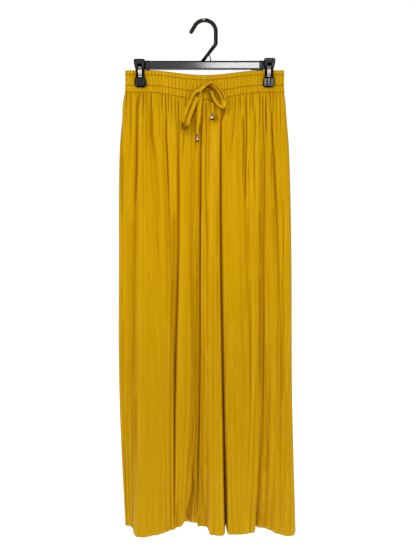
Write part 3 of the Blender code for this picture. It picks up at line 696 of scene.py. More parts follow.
def makeBand(name, node, side):
    share, x = np.meshgrid(np.linspace(0, 1, band["rows"] + 1),
                           np.linspace(band["leftX"], band["rightX"], band["columns"] + 1), indexing="ij")
    surface = bandSurface(x, share, side)
    depth = side * surface[..., 1]
    # Painted shade in the hollows of the ripples and along the sunken stitch rows, painted highlight on their
    # ridges.
    rows = sum(bell(share, row, band["stitchHalf"]) for row in band["stitchRows"])
    broken = 0.55 + 0.6 * drift(x / 6, share * 9, 72)
    crease = 0.8 * creaseFrom(depth, 5, 0.9) + 0.62 * rows * broken
    crest = 2.2 * creaseFrom(-depth, 4, 0.8)
    if side == front:
        # On the front: a small dark spot near the top, the bow's painted shadow, and a painted highlight
        # along the raised join.
        mark = bell(x, band["markX"], 1.6) * bell(share, 0.05, 0.05)
        crease = crease + 0.8 * mark + 1.5 * shadeOfBow(x, surface[..., 2])
        crest = crest + 0.9 * bell(x, band["joinX"], 1.3)
    paintedTone = crease, crest * (1 - np.clip(rows, 0, 1))
    return clothShell(name, node, surface, paintedTone, band["wall"], side == front, bandMaterial)


belts = {
    front: makeBand("waistbandFrontCasing", "waistband_front", front),
    back: makeBand("waistbandBackCasing", "waistband_back", back),
}
print("waistband made")


levelZ = (-155, -275, -490, -790, -1086)
cut = {
    "wall": 1.0, "seamHalfGap": -0.15, "edgeTurn": 1.5, "columnPitch": 6.3, "lobePowers": (6.5, 4.4),
    "crispDepth": 30, "lateHem": 1.7, "floorShare": 0.5, "floorSteps": 3, "floorRise": (5, 5, -880, 150),
    "pleatHeight": 1.2, "gatherHeight": 1.6, "gatherEndZ": -235, "hemWave": 0.5, "hemWaveZ": (-1070, 16),
    "underSeam": 0.2, "tuckBack": 0.3, "tuckRise": 0.6, "leastTilt": 0.35, "sideways": 0.6,
    "crotchZ": -430, "crotchCurve": 50, "crotchFlat": 4,
    "divisionX": (-4.5, -7.4, -8.4, -9.4, -14.6), "riseDepth": (12.5, 11, 9, 9, 9),
    "inseamY": {left: (0, 0, -4, -7, 24), right: (0, 0, -4, -7, 4)},
    "outseamX": {left: (-170.4, -182, -184, -184, -173.6), right: (171, 181.5, 186.6, 187.8, 193.6)},
    "flare": {left: 2.6, right: 1.0}, "flareZ": (-180, 20),
    "outseamY": {left: (0, 0, 2, 8, 24), right: (0, 0, 0, -2, -14)},
    "topRows": 38, "lowRows": 136, "fine": {front: 7, back: 6},
}

# Folds from the outseam inwards. xSeam is a fold's place under the waistband, x its place at the lower
# four levels, depth how far it stands off the middle plane, floor a deep fold's width, and crisp how
# suddenly its sides rise.
Fold = namedtuple("Fold", "xSeam x depth floor crisp", defaults=(0, 1))
folds = {
    (left, front): (
        Fold(-163, (-167, -167, -168, -163), (14, 16, 14, -9)),  # side roll
        Fold(-141, (-144.1, -148.5, -153.5, -154.5), (8, 11, 12, -3), 2.5, 0.34),  # side fold
        Fold(-128, (-126, -124, -121, -128), (20, 27, 38, 52)),  # outer lobe
        Fold(-115, (-108.5, -99, -94, -100), (15, 25, 37, 42)),  # slant hollow
        Fold(-100, (-93.5, -86, -84, -88), (20, 27, 36, 33)),  # middle lobe
        Fold(-86, (-79, -74, -76, -76.5), (14, 21, 34, 22)),  # inner hollow
        Fold(-73, (-68, -66, -71, -71.5), (17, 20, 29, 14)),  # inner lobe
        Fold(-55.5, (-54.6, -54.6, -62.2, -63.4), (7, 9.5, 11, 3), 2.5),  # deep fold
        Fold(-44, (-44, -44, -46, -54), (19, 26, 30, -1)),  # inside roll
        Fold(-35, (-31.5, -33, -32.5, -48), (17, 24, 27, -4)),  # inside shoulder
        Fold(-25, (-23, -25.5, -18.5, -40), (13, 17, 17, -9)),  # inside hollow
        Fold(-14, (-15, -16, -13.5, -31), (16, 19, 16, -26)),  # curled edge
    ),
    (right, front): (
        Fold(160, (165, 172, 177, 170), (17, 20, 25, 45)),  # side roll
        Fold(147, (147, 157, 162, 152), (11, 16, 21, 33)),  # side hollow
        Fold(138, (138.5, 141, 145, 138), (17, 20, 27, 14)),  # side lobe
        Fold(133, (133, 132.5, 133, 127), (13, 16, 22, 1)),  # side shelf
        Fold(127, (129, 126.4, 123.6, 110.5), (8, 11, 12, -12), 2.5),  # side fold
        Fold(108, (106, 108, 109, 97), (19, 26, 36, 30)),  # outer lobe
        Fold(88, (87, 91, 95, 87), (15, 23, 35, 35)),  # middle hollow
        Fold(60, (58, 60, 64, 72), (20, 27, 38, 38)),  # middle lobe
        Fold(36, (34.5, 35, 39.8, 45.2), (4, 5.5, 6, -20), 2.0, 1.5),  # deep fold
        Fold(24, (22, 22, 24, 27), (20, 28, 37, 43)),  # inside roll
        Fold(15.5, (11.5, 12, 13, 13.5), (19, 26, 35, 40)),  # roll shoulder
        Fold(9, (4, 4.5, 5, 4), (17, 23, 28, -4)),  # centre pucker
        Fold(3, (-2.6, -3.2, -3.2, -8), (16.5, 21, 23, -7)),  # centre roll
    ),
    (left, back): (
        Fold(-156, (-160, -160, -160, -156), (14, 18, 26, 38)),  # side roll
        Fold(-128, (-132, -130, -132, -134), (10, 13, 18, 27)),  # side hollow
        Fold(-98, (-102, -100, -100, -100), (19, 26, 34, 43)),  # outer lobe
        Fold(-70, (-74, -72, -76, -78), (10, 12, 15, 24), 2.5),  # deep fold
        Fold(-40, (-46, -46, -48, -46), (18, 25, 33, 41)),  # inside roll
    ),
    (right, back): (
        Fold(154, (160, 164, 168, 168), (15, 18, 24, 32)),  # side roll
        Fold(134, (138, 140, 142, 142), (10, 13, 18, 26)),  # side hollow
        Fold(104, (106, 108, 112, 118), (18, 25, 33, 40)),  # outer lobe
        Fold(78, (80, 84, 90, 100), (12, 16, 21, 30)),  # middle hollow
        Fold(52, (58, 62, 68, 76), (19, 26, 34, 42)),  # middle lobe
        Fold(34, (36, 38, 44, 48), (10, 12, 15, 32), 2.5),  # deep fold
        Fold(14, (16, 16, 17, 18), (18, 25, 33, 38)),  # inside roll
    ),
}


def atHeight(z, values):
    # Values at heights z, on a smooth curve through those at the named levels.
    z = np.clip(z, levelZ[-1], levelZ[0])
    levels, values = np.array(levelZ, float), np.array(values, float)
    i = np.clip(np.searchsorted(-levels, -z, side="right") - 1, 0, len(levels) - 2)
    span = levels[i + 1] - levels[i]
    t = (z - levels[i]) / span

    def slope(k):
        low, high = np.maximum(k - 1, 0), np.minimum(k + 1, len(levels) - 1)
        return (values[high] - values[low]) / (levels[high] - levels[low])

    start = (2 * t ** 3 - 3 * t ** 2 + 1) * values[i] + (t ** 3 - 2 * t ** 2 + t) * span * slope(i)
    return start + (3 * t ** 2 - 2 * t ** 3) * values[i + 1] + (t ** 3 - t ** 2) * span * slope(i + 1)


def outseamAt(leg, z):
    middle, reach = cut["flareZ"]
    return atHeight(z, cut["outseamX"][leg]) + leg * cut["flare"][leg] * bell(z, middle, reach)


def innerEdge(leg, side, z):
    # The panel's inner edge at the seam, and the strip beside it that turns in to the seam.
    above = z - cut["crotchZ"]
    turn = ease((cut["crotchCurve"] - above) / (cut["crotchCurve"] - cut["crotchFlat"])) * pi / 2
    x = atHeight(z, cut["divisionX"]) + leg * cut["seamHalfGap"]
    rise = atHeight(z, cut["riseDepth"])
    bend = np.clip(1 - above / cut["crotchCurve"], 0, 1)
    curve = cut["seamHalfGap"] + rise * np.sqrt(1 - bend ** 2)
    below = atHeight(z, cut["inseamY"][leg]) + side * cut["seamHalfGap"]
    y = np.where(above > 0, side * np.where(above < cut["crotchCurve"], curve, rise), below)
    reach = cut["edgeTurn"]
    return (x, y), (x + leg * reach * np.cos(turn), y + side * reach * np.sin(turn))


def nearHem(z):
    # Heights at which depths are read: they keep their form down the shin, and change late, near the hem.
    share = np.clip((levelZ[-2] - z) / (levelZ[-2] - levelZ[-1]), 0, 1)
    return np.where(z < levelZ[-2], levelZ[-2] - (levelZ[-2] - levelZ[-1]) * share ** cut["lateHem"], z)


def floorRise(z):
    low, more, middle, reach = cut["floorRise"]
    return ease((levelZ[0] - z) / 60) * (low + more * bell(z, middle, reach))


def stripsBetween(folds, number):
    # How many strips, each a column pitch wide, lie between a fold and the next.
    if number in (0, len(folds)):
        return 3
    here, after = folds[number - 1], folds[number]
    spacing = np.mean(np.abs(np.subtract(here.x, after.x)))
    return max(1, round(spacing / cut["columnPitch"]))


def lobe(t, fromDeep, toDeep, leg, change):
    # A deep fold slopes in from the left and turns up sharply on its right, as the cloth rolled over.
    crisp = np.maximum(1, np.abs(change) / cut["crispDepth"]) * max(fromDeep, toDeep)
    steep, slow = (power * crisp for power in cut["lobePowers"])
    if fromDeep and not toDeep:
        return 1 - (1 - t) ** (steep if leg == left else slow)
    if toDeep and not fromDeep:
        return t ** (slow if leg == left else steep)
    return ease(t)


def legForm(leg, side, z):
    # The panel before its pleats: x and depth by row and column, with each column's place in the
    # run of half pleats, and how much of a pleat it carries.
    outX, outY = outseamAt(leg, z), atHeight(z, cut["outseamY"][leg])
    stations = [(outX, side * outY + cut["edgeTurn"], 1)]
    for fold in folds[(leg, side)]:
        x = atHeight(z, (fold.xSeam, *fold.x))
        seamDepth = float(bandDepth(fold.xSeam)) + 1 + cut["gatherHeight"]
        depth = atHeight(nearHem(z), (seamDepth, *fold.depth))
        if fold.floor:
            half = fold.floor / 2 * leg * cut["floorShare"]
            depth = depth + floorRise(z)
            stations += [(x + half, depth, fold.crisp), (x - half, depth, fold.crisp)]
        else:
            stations.append((x, depth, 0))
    edge, strip = innerEdge(leg, side, z)
    stations.append((strip[0], side * strip[1], 1))

    columns = [(outX, side * (outY + side * cut["seamHalfGap"]), 0.0, 0.0)]
    number, count = 0, 0
    for (startX, startDepth, startDeep), (endX, endDepth, endDeep) in zip(stations, stations[1:]):
        floor = startDeep and endDeep
        strips = 1 if floor else stripsBetween(folds[(leg, side)], number)
        number += 0 if floor else 1
        base = count if not startDeep else count - 1
        steps = cut["floorSteps"] if floor else strips * cut["fine"][side]
        change = endDepth - startDepth
        for k in range(steps):
            t = k / steps
            weight = min(1.0, t * strips) if startDeep else 1.0
            if endDeep:
                weight = min(weight, (1 - t) * strips)
            columns.append((startX + (endX - startX) * t,
                            startDepth + change * lobe(t, startDeep, endDeep, leg, change),
                            base + t * strips, 0.0 if floor else weight))
        if not floor:
            count += strips if not startDeep else strips - 1
    columns += [(x, side * y, count, 0.0) for x, y in (strip, edge)]
    xs, depths, pleats, weights = zip(*columns)
    return np.stack(xs, 1), np.stack(depths, 1), np.array(pleats), np.array(weights)


# Places where the cloth hangs smooth or keeps its pleats crisp: centre, half sizes, and the share
# of pleating added there.
Patch = namedtuple("Patch", "x z width height change")
patches = {
    (left, front): (
        Patch(-105, -830, 48, 330, -0.85), Patch(-45, -600, 15, 420, -0.6), Patch(-105, -500, 40, 160, -0.4),
        Patch(-172, -640, 14, 260, -0.35), Patch(-170, -960, 14, 160, 0.3),
    ),
    (right, front): (
        Patch(16, -340, 11, 240, -0.85), Patch(20, -900, 14, 260, -0.6), Patch(60, -420, 20, 240, -0.75),
        Patch(75, -800, 30, 300, -0.45), Patch(150, -950, 40, 200, 0.25), Patch(150, -650, 30, 160, -0.35),
    ),
    (left, back): (Patch(-90, -850, 50, 260, -0.4), Patch(-150, -900, 25, 220, 0.4)),
    (right, back): (Patch(80, -700, 40, 240, -0.35), Patch(150, -930, 40, 220, 0.5)),
}

# Small slanting creases pressed into the cloth: middle, slope in degrees from upright, length,
# half width and height.
Crinkle = namedtuple("Crinkle", "x z lean length width height")
crinkles = {
    (left, front): (
        Crinkle(-132, -410, 12, 120, 3.0, 0.7), Crinkle(-118, -560, 14, 150, 3.4, 0.8),
        Crinkle(-140, -640, 16, 90, 2.8, 0.7), Crinkle(-102, -480, 9, 130, 2.6, 0.7),
        Crinkle(-176, -700, 18, 70, 2.4, 0.6), Crinkle(-120, -700, 24, 60, 2.0, 0.5),
        Crinkle(-33, -640, 20, 60, 2.2, 0.6), Crinkle(-78, -760, 6, 150, 2.4, 0.5),
    ),
    (right, front): (
        Crinkle(6, -688, 32, 26, 1.6, 0.9), Crinkle(19, -719, -68, 18, 1.4, 0.6),
        Crinkle(12, -812, -80, 24, 1.5, 0.7), Crinkle(16, -832, -40, 20, 1.5, 0.6),
        Crinkle(70, -735, 30, 22, 1.6, 0.7), Crinkle(88, -745, -20, 34, 1.8, 0.6),
        Crinkle(148, -725, 34, 26, 1.7, 0.8), Crinkle(140, -745, 30, 20, 1.5, 0.6),
        Crinkle(-4, -560, -4, 60, 2.0, 0.6),
    ),
    (left, back): (
        Crinkle(-120, -430, -13, 130, 3.0, 0.7), Crinkle(-60, -610, 18, 80, 2.4, 0.7),
        Crinkle(-150, -720, 22, 40, 1.8, 0.7), Crinkle(-95, -520, 10, 140, 3.0, 0.7),
    ),
    (right, back): (
        Crinkle(90, -470, 12, 140, 3.0, 0.7), Crinkle(40, -700, -30, 30, 1.8, 0.7),
        Crinkle(140, -600, -16, 90, 2.6, 0.7), Crinkle(120, -760, 28, 34, 1.8, 0.7),
    ),
}

# Creases that the cloth keeps, with painted shade in them; some, under the bow, are its painted shadow.
# The run of each goes down from its top, as x and z seen from the front in the hanger's plane. Then come
# how dark its painted shade is (or how pale its painted highlight, under 0) and how far it shades off on
# its left and on its right.
Crease = namedtuple("Crease", "run dark left right")


def creaseRows(*rows):
    return [Crease(row[:-3], *row[-3:]) for row in rows]


creases = {
    (left, front): creaseRows(
        ((-141, -156), (-144, -186), (-144.5, -232), (-145, -260), (-146, -330), (-149, -400), 0.9, 3.6, 2.4),
        ((-148, -380), (-148.5, -457), (-150, -530), 0.34, 4, 4.5),
        ((-152, -420), (-153, -540), (-153, -800), 0.3, 7, 6), ((-149, -800), (-148, -960), 0.4, 6, 4),
        ((-176, -280), (-175, -420), 0.35, 5, 5), ((-170, -400), (-168, -560), 0.12, 12, 9),
        ((-175, -640), (-175, -800), 0.25, 3, 3),
        ((-161, -640), (-161, -760), (-153, -860), (-150, -960), (-151, -1076), 0.2, 2.5, 1.5),
        ((-177, -165), (-178, -232), (-179, -330), (-177, -420), 0.7, 2.2, 2),
        ((-178, -560), (-180, -700), (-178, -800), 0.3, 2, 2), ((-172, -900), (-168, -1072), 0.3, 3, 2),
        ((-168, -156), (-166, -200), 0.35, 2, 1.5), ((-159, -155), (-158, -262), 0.42, 2.5, 2),
        ((-131, -156), (-130, -205), 0.55, 1.8, 1.6), ((-123, -158), (-122, -256), 0.38, 1.8, 1.5),
        ((-114, -154), (-114, -198), 0.9, 1.8, 1.6),
        ((-113.5, -180), (-113, -240), (-108.6, -276), (-105, -300), 0.6, 5, 3.4),
        ((-108, -270), (-104, -330), (-102, -400), (-101, -457), (-97, -530), 0.22, 4.5, 2),
        ((-100, -330), (-96, -390), (-99, -460), 0.18, 2.5, 1.5),
        ((-98, -156), (-97, -200), (-96, -262), 0.36, 2.2, 2), ((-91, -156), (-91, -192), 0.6, 1.6, 1.4),
        ((-84, -154), (-82, -206), 0.75, 1.7, 1.5),
        ((-82, -196), (-82, -250), (-80, -280), (-78, -330), (-76, -396), 0.85, 2.0, 1.6),
        ((-76, -384), (-73.5, -457), (-71.5, -550), 0.42, 3.2, 2),
        ((-77.5, -157), (-77, -196), 0.8, 1.6, 1.4), ((-70.5, -156), (-70, -204), 0.55, 1.6, 1.4),
        ((-63, -156), (-62, -190), (-59.5, -232), (-59, -262), 0.5, 1.8, 1.6),
        ((-56, -154), (-55.5, -200), (-54, -250), 0.85, 2.2, 1.8),
        ((-55, -236), (-57, -330), (-57, -457), (-59, -560), 0.14, 4, 1.8),
        ((-67, -540), (-66, -680), 0.4, 7, 5), ((-60, -400), (-61.5, -520), 0.3, 3.5, 2),
        ((-74, -430), (-73, -500), 0.3, 2, 2), ((-75.5, -640), (-75.5, -1080), -0.5, 2.5, 2.5),
        ((-17, -540), (-16.5, -800), 0.4, 5, 3.5), ((-66.5, -640), (-66.5, -800), 0.6, 2.6, 2.2),
        ((-18, -800), (-17, -930), 0.34, 3, 2.4),
        ((-64.5, -790), (-63.8, -890), (-64.5, -1000), (-64.8, -1080), 0.9, 2.0, 1.5),
        ((-58, -846), (-58, -930), 0.2, 1.6, 1.4), ((-46, -190), (-44, -240), (-47, -290), 0.6, 3.2, 2.6),
        ((-8.8, -218), (-8.4, -244), 0.8, 1.8, 1.5), ((-49, -212), (-50, -238), 0.6, 3, 3),
        ((-65, -410), (-64.5, -560), (-65.5, -680), (-64, -810), 0.42, 5.5, 5),
        ((-152.5, -440), (-152.5, -800), 0.3, 7, 6), ((-20, -440), (-20, -800), 0.16, 9, 8),
        ((-122, -496), (-116, -540), (-108, -590), (-104, -650), -0.8, 1.1, 1.1),
        ((-113, -476), (-108, -540), (-103, -600), (-102, -670), -0.7, 1.0, 1.0),
        ((-143.5, -584), (-141, -625), (-136.6, -668), -0.9, 1.2, 1.2),
        ((-103, -640), (-99, -690), (-97, -750), -0.6, 1.0, 1.0),
        ((-145.5, -640), (-143, -680), -0.8, 1.2, 1.2),
        ((-133, -606), (-126, -660), (-121, -710), -0.55, 1.0, 1.0),
        ((-118, -690), (-112, -740), (-108, -800), -0.5, 1.0, 1.0),
        ((-180, -652), (-177, -694), -0.8, 1.0, 1.0), ((-27.5, -734), (-24, -766), -0.9, 1.1, 1.1),
        ((-26, -968), (-26.5, -988), (-31, -1023), (-37, -1045), (-40, -1059), (-38, -1086), 0.7, 1.3, 1.8),
        ((-37.5, -1054), (-33, -1066), (-29.5, -1078), 0.8, 1.5, 1.4),
        ((-24, -960), (-24, -1086), -1.0, 7, 7), ((-59.5, -600), (-61, -740), -0.7, 3, 3),
        ((-40, -156), (-39, -196), 0.5, 1.8, 1.5), ((-31, -156), (-31, -198), 0.5, 3, 2.5),
        ((-36, -215), (-36, -252), 0.25, 2, 2),
        ((-34, -286), (-33, -330), (-33.5, -457), (-32, -630), 0.32, 1.7, 1.3),
        ((-25, -196), (-24, -266), 0.12, 2, 1.8), ((-18.8, -204), (-18.8, -280), 0.85, 2.4, 1.8),
        ((-22, -280), (-23, -330), (-23, -390), (-26, -457), (-25, -530), 0.2, 3, 1.9),
        ((-19, -556), (-18, -640), (-14, -737), (-14, -815), 0.24, 9, 6),
        ((-13, -486), (-15, -507), (-15.8, -532), (-13.5, -560), 0.7, 1.4, 1),
        ((-24.8, -838), (-24.4, -922), 0.36, 2, 1.6),
    ),
    (right, front): creaseRows(
        ((42.5, -178), (40.5, -194), (36, -216), 1.0, 4, 2.6), ((25, -200), (26, -212), 0.55, 8, 7),
        ((10.5, -206), (11, -222), 0.6, 3, 3), ((22, -222), (22, -262), (23, -310), -0.9, 8, 9),
        ((4, -156), (4, -256), 0.75, 2, 1.8), ((3, -240), (2.5, -330), (4, -470), 0.32, 2.4, 2),
        ((10, -196), (10, -262), (9.5, -345), 0.58, 1.9, 1.6), ((7, -396), (6, -520), 0.2, 3, 3),
        ((-4.5, -262), (-4, -330), (-4.5, -420), (-6.5, -560), (-6, -640), -0.9, 1.6, 2.4),
        ((14, -256), (13, -330), (14, -500), -0.8, 2.5, 6), ((17, -226), (17, -258), -0.9, 1.5, 1.5),
        ((27, -380), (27, -470), (28, -520), 0.22, 3, 2.5), ((28.5, -520), (28, -630), 0.38, 1.7, 1.4),
        ((31, -520), (30.5, -640), (32, -760), -0.4, 1.2, 1.2),
        ((36, -154), (36, -190), (36, -250), 0.7, 2.2, 1.8), ((44, -156), (43, -196), 0.75, 1.9, 1.6),
        ((30.5, -372), (31, -440), (30.5, -500), 0.4, 1.4, 1.1), ((33, -530), (34, -640), 0.3, 1.4, 2),
        ((41, -800), (43, -980), (45, -1080), 0.4, 1.4, 1.3),
        ((47, -640), (47.5, -737), (46, -810), 0.38, 1.7, 1.4),
        ((49, -850), (49, -950), (49.5, -1074), 0.3, 2, 1.8),
        ((67, -154), (65, -196), (62, -232), (58, -272), 0.6, 2, 1.6),
        ((57, -256), (52, -300), 0.3, 1.6, 1.4), ((60, -205), (54, -262), (51, -300), 0.25, 1.5, 1.4),
        ((64, -286), (64, -380), -0.5, 6, 4), ((77, -156), (77, -196), 0.6, 1.7, 1.5),
        ((84, -200), (85, -262), (84, -350), 0.6, 3.4, 2),
        ((90, -154), (90, -190), (90.5, -250), (88, -330), (87, -400), 0.8, 2.4, 1.8),
        ((94.5, -292), (94.5, -356), 0.42, 1.6, 1.4), ((90, -392), (89, -530), 0.16, 8, 6),
        ((95, -416), (95, -530), 0.22, 2, 1.5), ((90, -530), (90, -650), 0.14, 5, 4),
        ((99, -550), (99.5, -640), (99.5, -812), 0.28, 2.2, 1.5), ((88, -660), (88, -820), 0.16, 2.5, 1.6),
        ((98, -155), (98, -198), 0.65, 1.7, 1.5), ((104, -155), (104, -194), 0.9, 1.6, 1.4),
        ((108, -186), (109, -232), (107, -290), (107, -356), 0.5, 2, 1.5),
        ((103, -292), (102.5, -350), (103, -420), -0.6, 1.5, 1.8),
        ((111, -292), (112, -350), (113, -470), -0.6, 1.5, 2.2), ((104.5, -392), (105, -540), 0.3, 2, 1.5),
        ((103, -550), (103.5, -640), -0.5, 1.2, 1.2), ((119, -155), (119, -256), 0.55, 1.8, 1.5),
        ((125, -155), (125.5, -200), (126.5, -240), (128.5, -284), 0.8, 2.6, 2),
        ((132, -155), (132.5, -256), 0.9, 2.2, 2.0), ((126, -262), (126, -400), 0.34, 5, 4),
        ((121, -400), (120.5, -560), 0.55, 6, 6), ((120, -540), (120, -800), 0.62, 5, 5),
        ((144, -290), (144, -380), 0.45, 2.4, 2), ((4, -940), (5, -1086), -1.0, 6, 6),
        ((-6, -800), (-5.5, -930), 0.3, 2.4, 2), ((6, -700), (7, -960), -0.6, 4, 4),
        ((36.5, -840), (40, -1080), -0.8, 3, 1.6), ((123.5, -300), (122.5, -450), (122, -580), 0.34, 5, 5),
        ((-6, -706), (-2, -722), (3.5, -740), 0.4, 1.1, 1.1), ((62, -736), (70, -760), -0.9, 1.2, 1.2),
        ((60, -640), (58, -720), -0.5, 1.2, 1.2), ((144, -732), (153.5, -766), -0.9, 1.3, 1.3),
        ((149, -726), (156, -756), -0.7, 1.0, 1.0), ((5, -742), (9, -774), 0.35, 1.1, 1.1),
        ((108, -600), (108, -800), -0.4, 5, 5), ((114.5, -980), (114, -1084), -1.0, 3, 4),
        ((128, -960), (128, -1086), -0.9, 8, 8),
        ((129.5, -268), (130, -330), (130.5, -404), (129, -457), (127, -530), 0.34, 2.4, 1.5),
        ((124, -284), (122, -400), (119, -520), 0.36, 5, 4), ((118, -510), (118, -660), 0.34, 4, 4),
        ((125.5, -510), (124.5, -600), (125, -665), 0.3, 2.5, 2.2),
        ((117.5, -650), (117, -812), 0.34, 2.5, 2), ((124, -650), (125, -812), 0.2, 2.4, 1.8),
        ((131.5, -690), (132, -810), 0.5, 1.6, 1.2), ((118, -820), (118, -890), (116, -946), 0.2, 2.4, 1.4),
        ((127, -820), (127, -942), 0.32, 1.6, 1.3), ((134, -780), (134, -905), 0.34, 1.6, 1.3),
        ((139.5, -780), (139.5, -905), 0.34, 1.6, 1.3), ((123, -980), (121, -1066), 0.3, 2, 1.4),
        ((138, -890), (137.5, -1084), 0.3, 2.2, 1.2), ((152, -842), (151, -1088), 0.28, 1.8, 1.3),
        ((165, -840), (164.5, -1086), 0.2, 1.8, 1.3), ((178, -860), (180, -990), 0.16, 1.8, 1.4),
        ((142, -155), (141.5, -196), 0.65, 1.8, 1.5), ((136, -190), (137, -260), -0.5, 2, 2),
        ((144.5, -186), (145.5, -232), (147.5, -280), 0.85, 2.8, 1.5),
        ((143.5, -276), (143.5, -350), 0.6, 2, 1.5),
        ((148.5, -270), (150, -330), (152, -370), (155, -420), 0.42, 2.6, 2.6),
        ((148, -392), (150, -510), 0.26, 9, 4),
        ((155, -404), (156.5, -457), (158.5, -520), (160, -620), 0.36, 2.4, 1.7),
        ((157, -630), (157, -820), 0.28, 2, 1.5), ((154, -156), (155, -262), 0.4, 1.8, 1.5),
        ((163, -156), (164, -262), 0.48, 1.8, 1.5), ((158, -292), (160, -350), -0.5, 4, 4),
        ((169, -376), (170, -457), (169.5, -550), 0.42, 2.2, 1.5),
        ((174, -400), (174.5, -520), -0.6, 1.4, 1.4),
        ((168, -540), (171, -640), (169, -700), (170, -812), 0.34, 4, 1.6),
        ((-5.8, -956), (-4, -998), (-2, -1028), (1.4, -1056), (3.2, -1084), 0.4, 2, 1.1),
    ),
    (left, back): creaseRows(
        ((-152, -150), (-149, -230), (-151, -340), (-154, -470), 0.7, 3.5, 1.2),
        ((-121, -152), (-118, -200), (-122, -280), 0.55, 2.2, 1.1),
        ((-112, -300), (-108, -410), (-112, -560), 0.4, 3.5, 1.3),
        ((-89, -151), (-91, -240), (-86, -350), (-88, -430), 0.6, 2.4, 1.1),
        ((-73, -160), (-72, -420), (-75, -700), (-78, -1084), 0.7, 3, 1.2),
        ((-55, -151), (-57, -220), (-54, -300), 0.5, 2.2, 1.1),
        ((-30, -152), (-33, -260), (-31, -400), (-34, -520), 0.5, 3, 1.2),
        ((-21, -160), (-20, -210), 0.45, 1.6, 1), ((-132, -560), (-136, -700), (-133, -900), 0.35, 4, 1.4),
        ((-146, -800), (-149, -930), (-147, -1086), 0.4, 2, 1.1), ((-160, -880), (-158, -1086), 0.35, 1.6, 1),
        ((-58, -640), (-61, -780), (-59, -960), 0.35, 3, 1.2), ((-40, -900), (-38, -1086), 0.35, 1.5, 1),
        ((-105, -152), (-104, -178), 0.45, 1.4, 1), ((-138, -152), (-137, -186), 0.45, 1.4, 1),
        ((-42, -153), (-43, -176), 0.4, 1.4, 1),
    ),
    (right, back): creaseRows(
        ((152, -150), (149, -235), (152, -360), (157, -480), 0.7, 3.5, 1.2),
        ((128, -151), (131, -210), (129, -300), 0.55, 2.2, 1.1),
        ((118, -320), (122, -450), (119, -590), 0.4, 3.5, 1.3),
        ((92, -151), (90, -250), (94, -370), 0.55, 2.4, 1.1),
        ((66, -151), (69, -220), (66, -330), (70, -440), 0.5, 2.4, 1.1),
        ((36, -165), (38, -430), (43, -700), (47, -1084), 0.7, 3, 1.2),
        ((23, -152), (25, -240), (22, -330), 0.5, 2.2, 1.1),
        ((104, -640), (108, -760), (105, -930), 0.35, 3.5, 1.3),
        ((140, -700), (143, -860), (141, -1086), 0.4, 2, 1.1), ((156, -820), (155, -1086), 0.35, 1.5, 1),
        ((170, -900), (171, -1086), 0.35, 1.5, 1), ((84, -900), (86, -1086), 0.35, 1.5, 1),
        ((10, -155), (12, -190), 0.4, 1.4, 1), ((79, -152), (80, -180), 0.45, 1.4, 1),
        ((108, -152), (107, -176), 0.45, 1.4, 1), ((140, -152), (141, -184), 0.45, 1.4, 1),
    ),
}

# How the creases are drawn: their depth, how they fade in above their top and out past their foot, how
# much the narrow ones are narrowed, and where the painted highlight of the pale roll on the right of each
# one lies.
creaseDrawing = {
    "depth": 1.8, "above": 8, "fadeIn": 26, "fadeOut": 110, "fadeShare": 0.9, "past": 0.4,
    "narrow": 5, "narrowing": 0.82, "rollAt": 2.4, "rollHalf": 1.3, "rollShare": 0.6, "paleRise": 0.6,
}
pleating = {
    "round": 0.72, "wander": 0.5, "least": 0.10, "spread": 1.25, "most": 1.5, "soft": (1.5, 0.7),
    "lines": ((0.5, 0.5), (0.36, 0.22), (0.3, 0.78)), "lineWander": 0.18, "lineHalf": 0.16,
}
# Shares of painted shade in hollows and under the casing, and of painted highlight on crests, each with
# the depth or the fall from the seam that it takes to be full.
shading = {
    "broad": (0.12, 8.0), "fine": (0.3, 1.0), "crest": (0.3, 1.0), "underBand": (0.12, 30), "calm": -1.1,
}
gathers = {
    "spacing": (5, 12), "depth": (0.4, 1.7), "length": (22, 70), "width": (1.1, 1.9), "lean": (-0.03, 0.03),
    "margin": 4, "spreadFall": 130,
}

# Where the left leg's front curls forward along its inner edge, low down, and shows the cloth behind.
# The line gives the curl's edge, as z and x.
curl = {
    "line": ((-970, -27.3), (-988, -24.4), (-1013, -27.3), (-1034, -34.4), (-1052, -39), (-1063, -38),
             (-1086, -36)),
    "topZ": -935, "fullZ": -1010, "edge": 1.3, "shade": 0.2,
    "forward": 7, "forwardReach": 13, "behind": 8, "behindReach": 9,
    "cornerX": -41, "lift": 11.5, "liftReach": 7, "liftPast": 1.1, "liftFrom": -1040,
}


def gatherDepth(seamX, fall, seed):
    # Puckers that hang from the seam, each as deep, long and wide as it happens to be.
    draw = np.random.default_rng(seed)
    margin = gathers["margin"]
    place, total = band["leftX"] + margin, np.zeros(np.broadcast(seamX, fall).shape)
    while place < band["rightX"] - margin:
        depth = draw.uniform(*gathers["depth"])
        length = draw.uniform(*gathers["length"]) * (0.55 + 0.45 * depth / gathers["depth"][1])
        width = draw.uniform(*gathers["width"])
        centre = place + draw.uniform(*gathers["lean"]) * fall
        notch = bell(seamX, centre, width * (1 + fall / gathers["spreadFall"]))
        total = total + depth * notch * np.clip(1 - fall / length, 0, 1) ** 1.3
        place += draw.uniform(*gathers["spacing"])
    return total


def pressing(x, z, leg, side):
    # The share of pleating that the patches add, or take off where the cloth hangs smooth.
    return sum(patch.change * bell(x, patch.x, patch.width) * bell(z, patch.z, patch.height)
               for patch in patches[(leg, side)])


def nearSeam(z):
    # 1 at the seam under the casing, and 0 from where its gathers end.
    return ease((z - cut["gatherEndZ"]) / (levelZ[0] - cut["gatherEndZ"]))


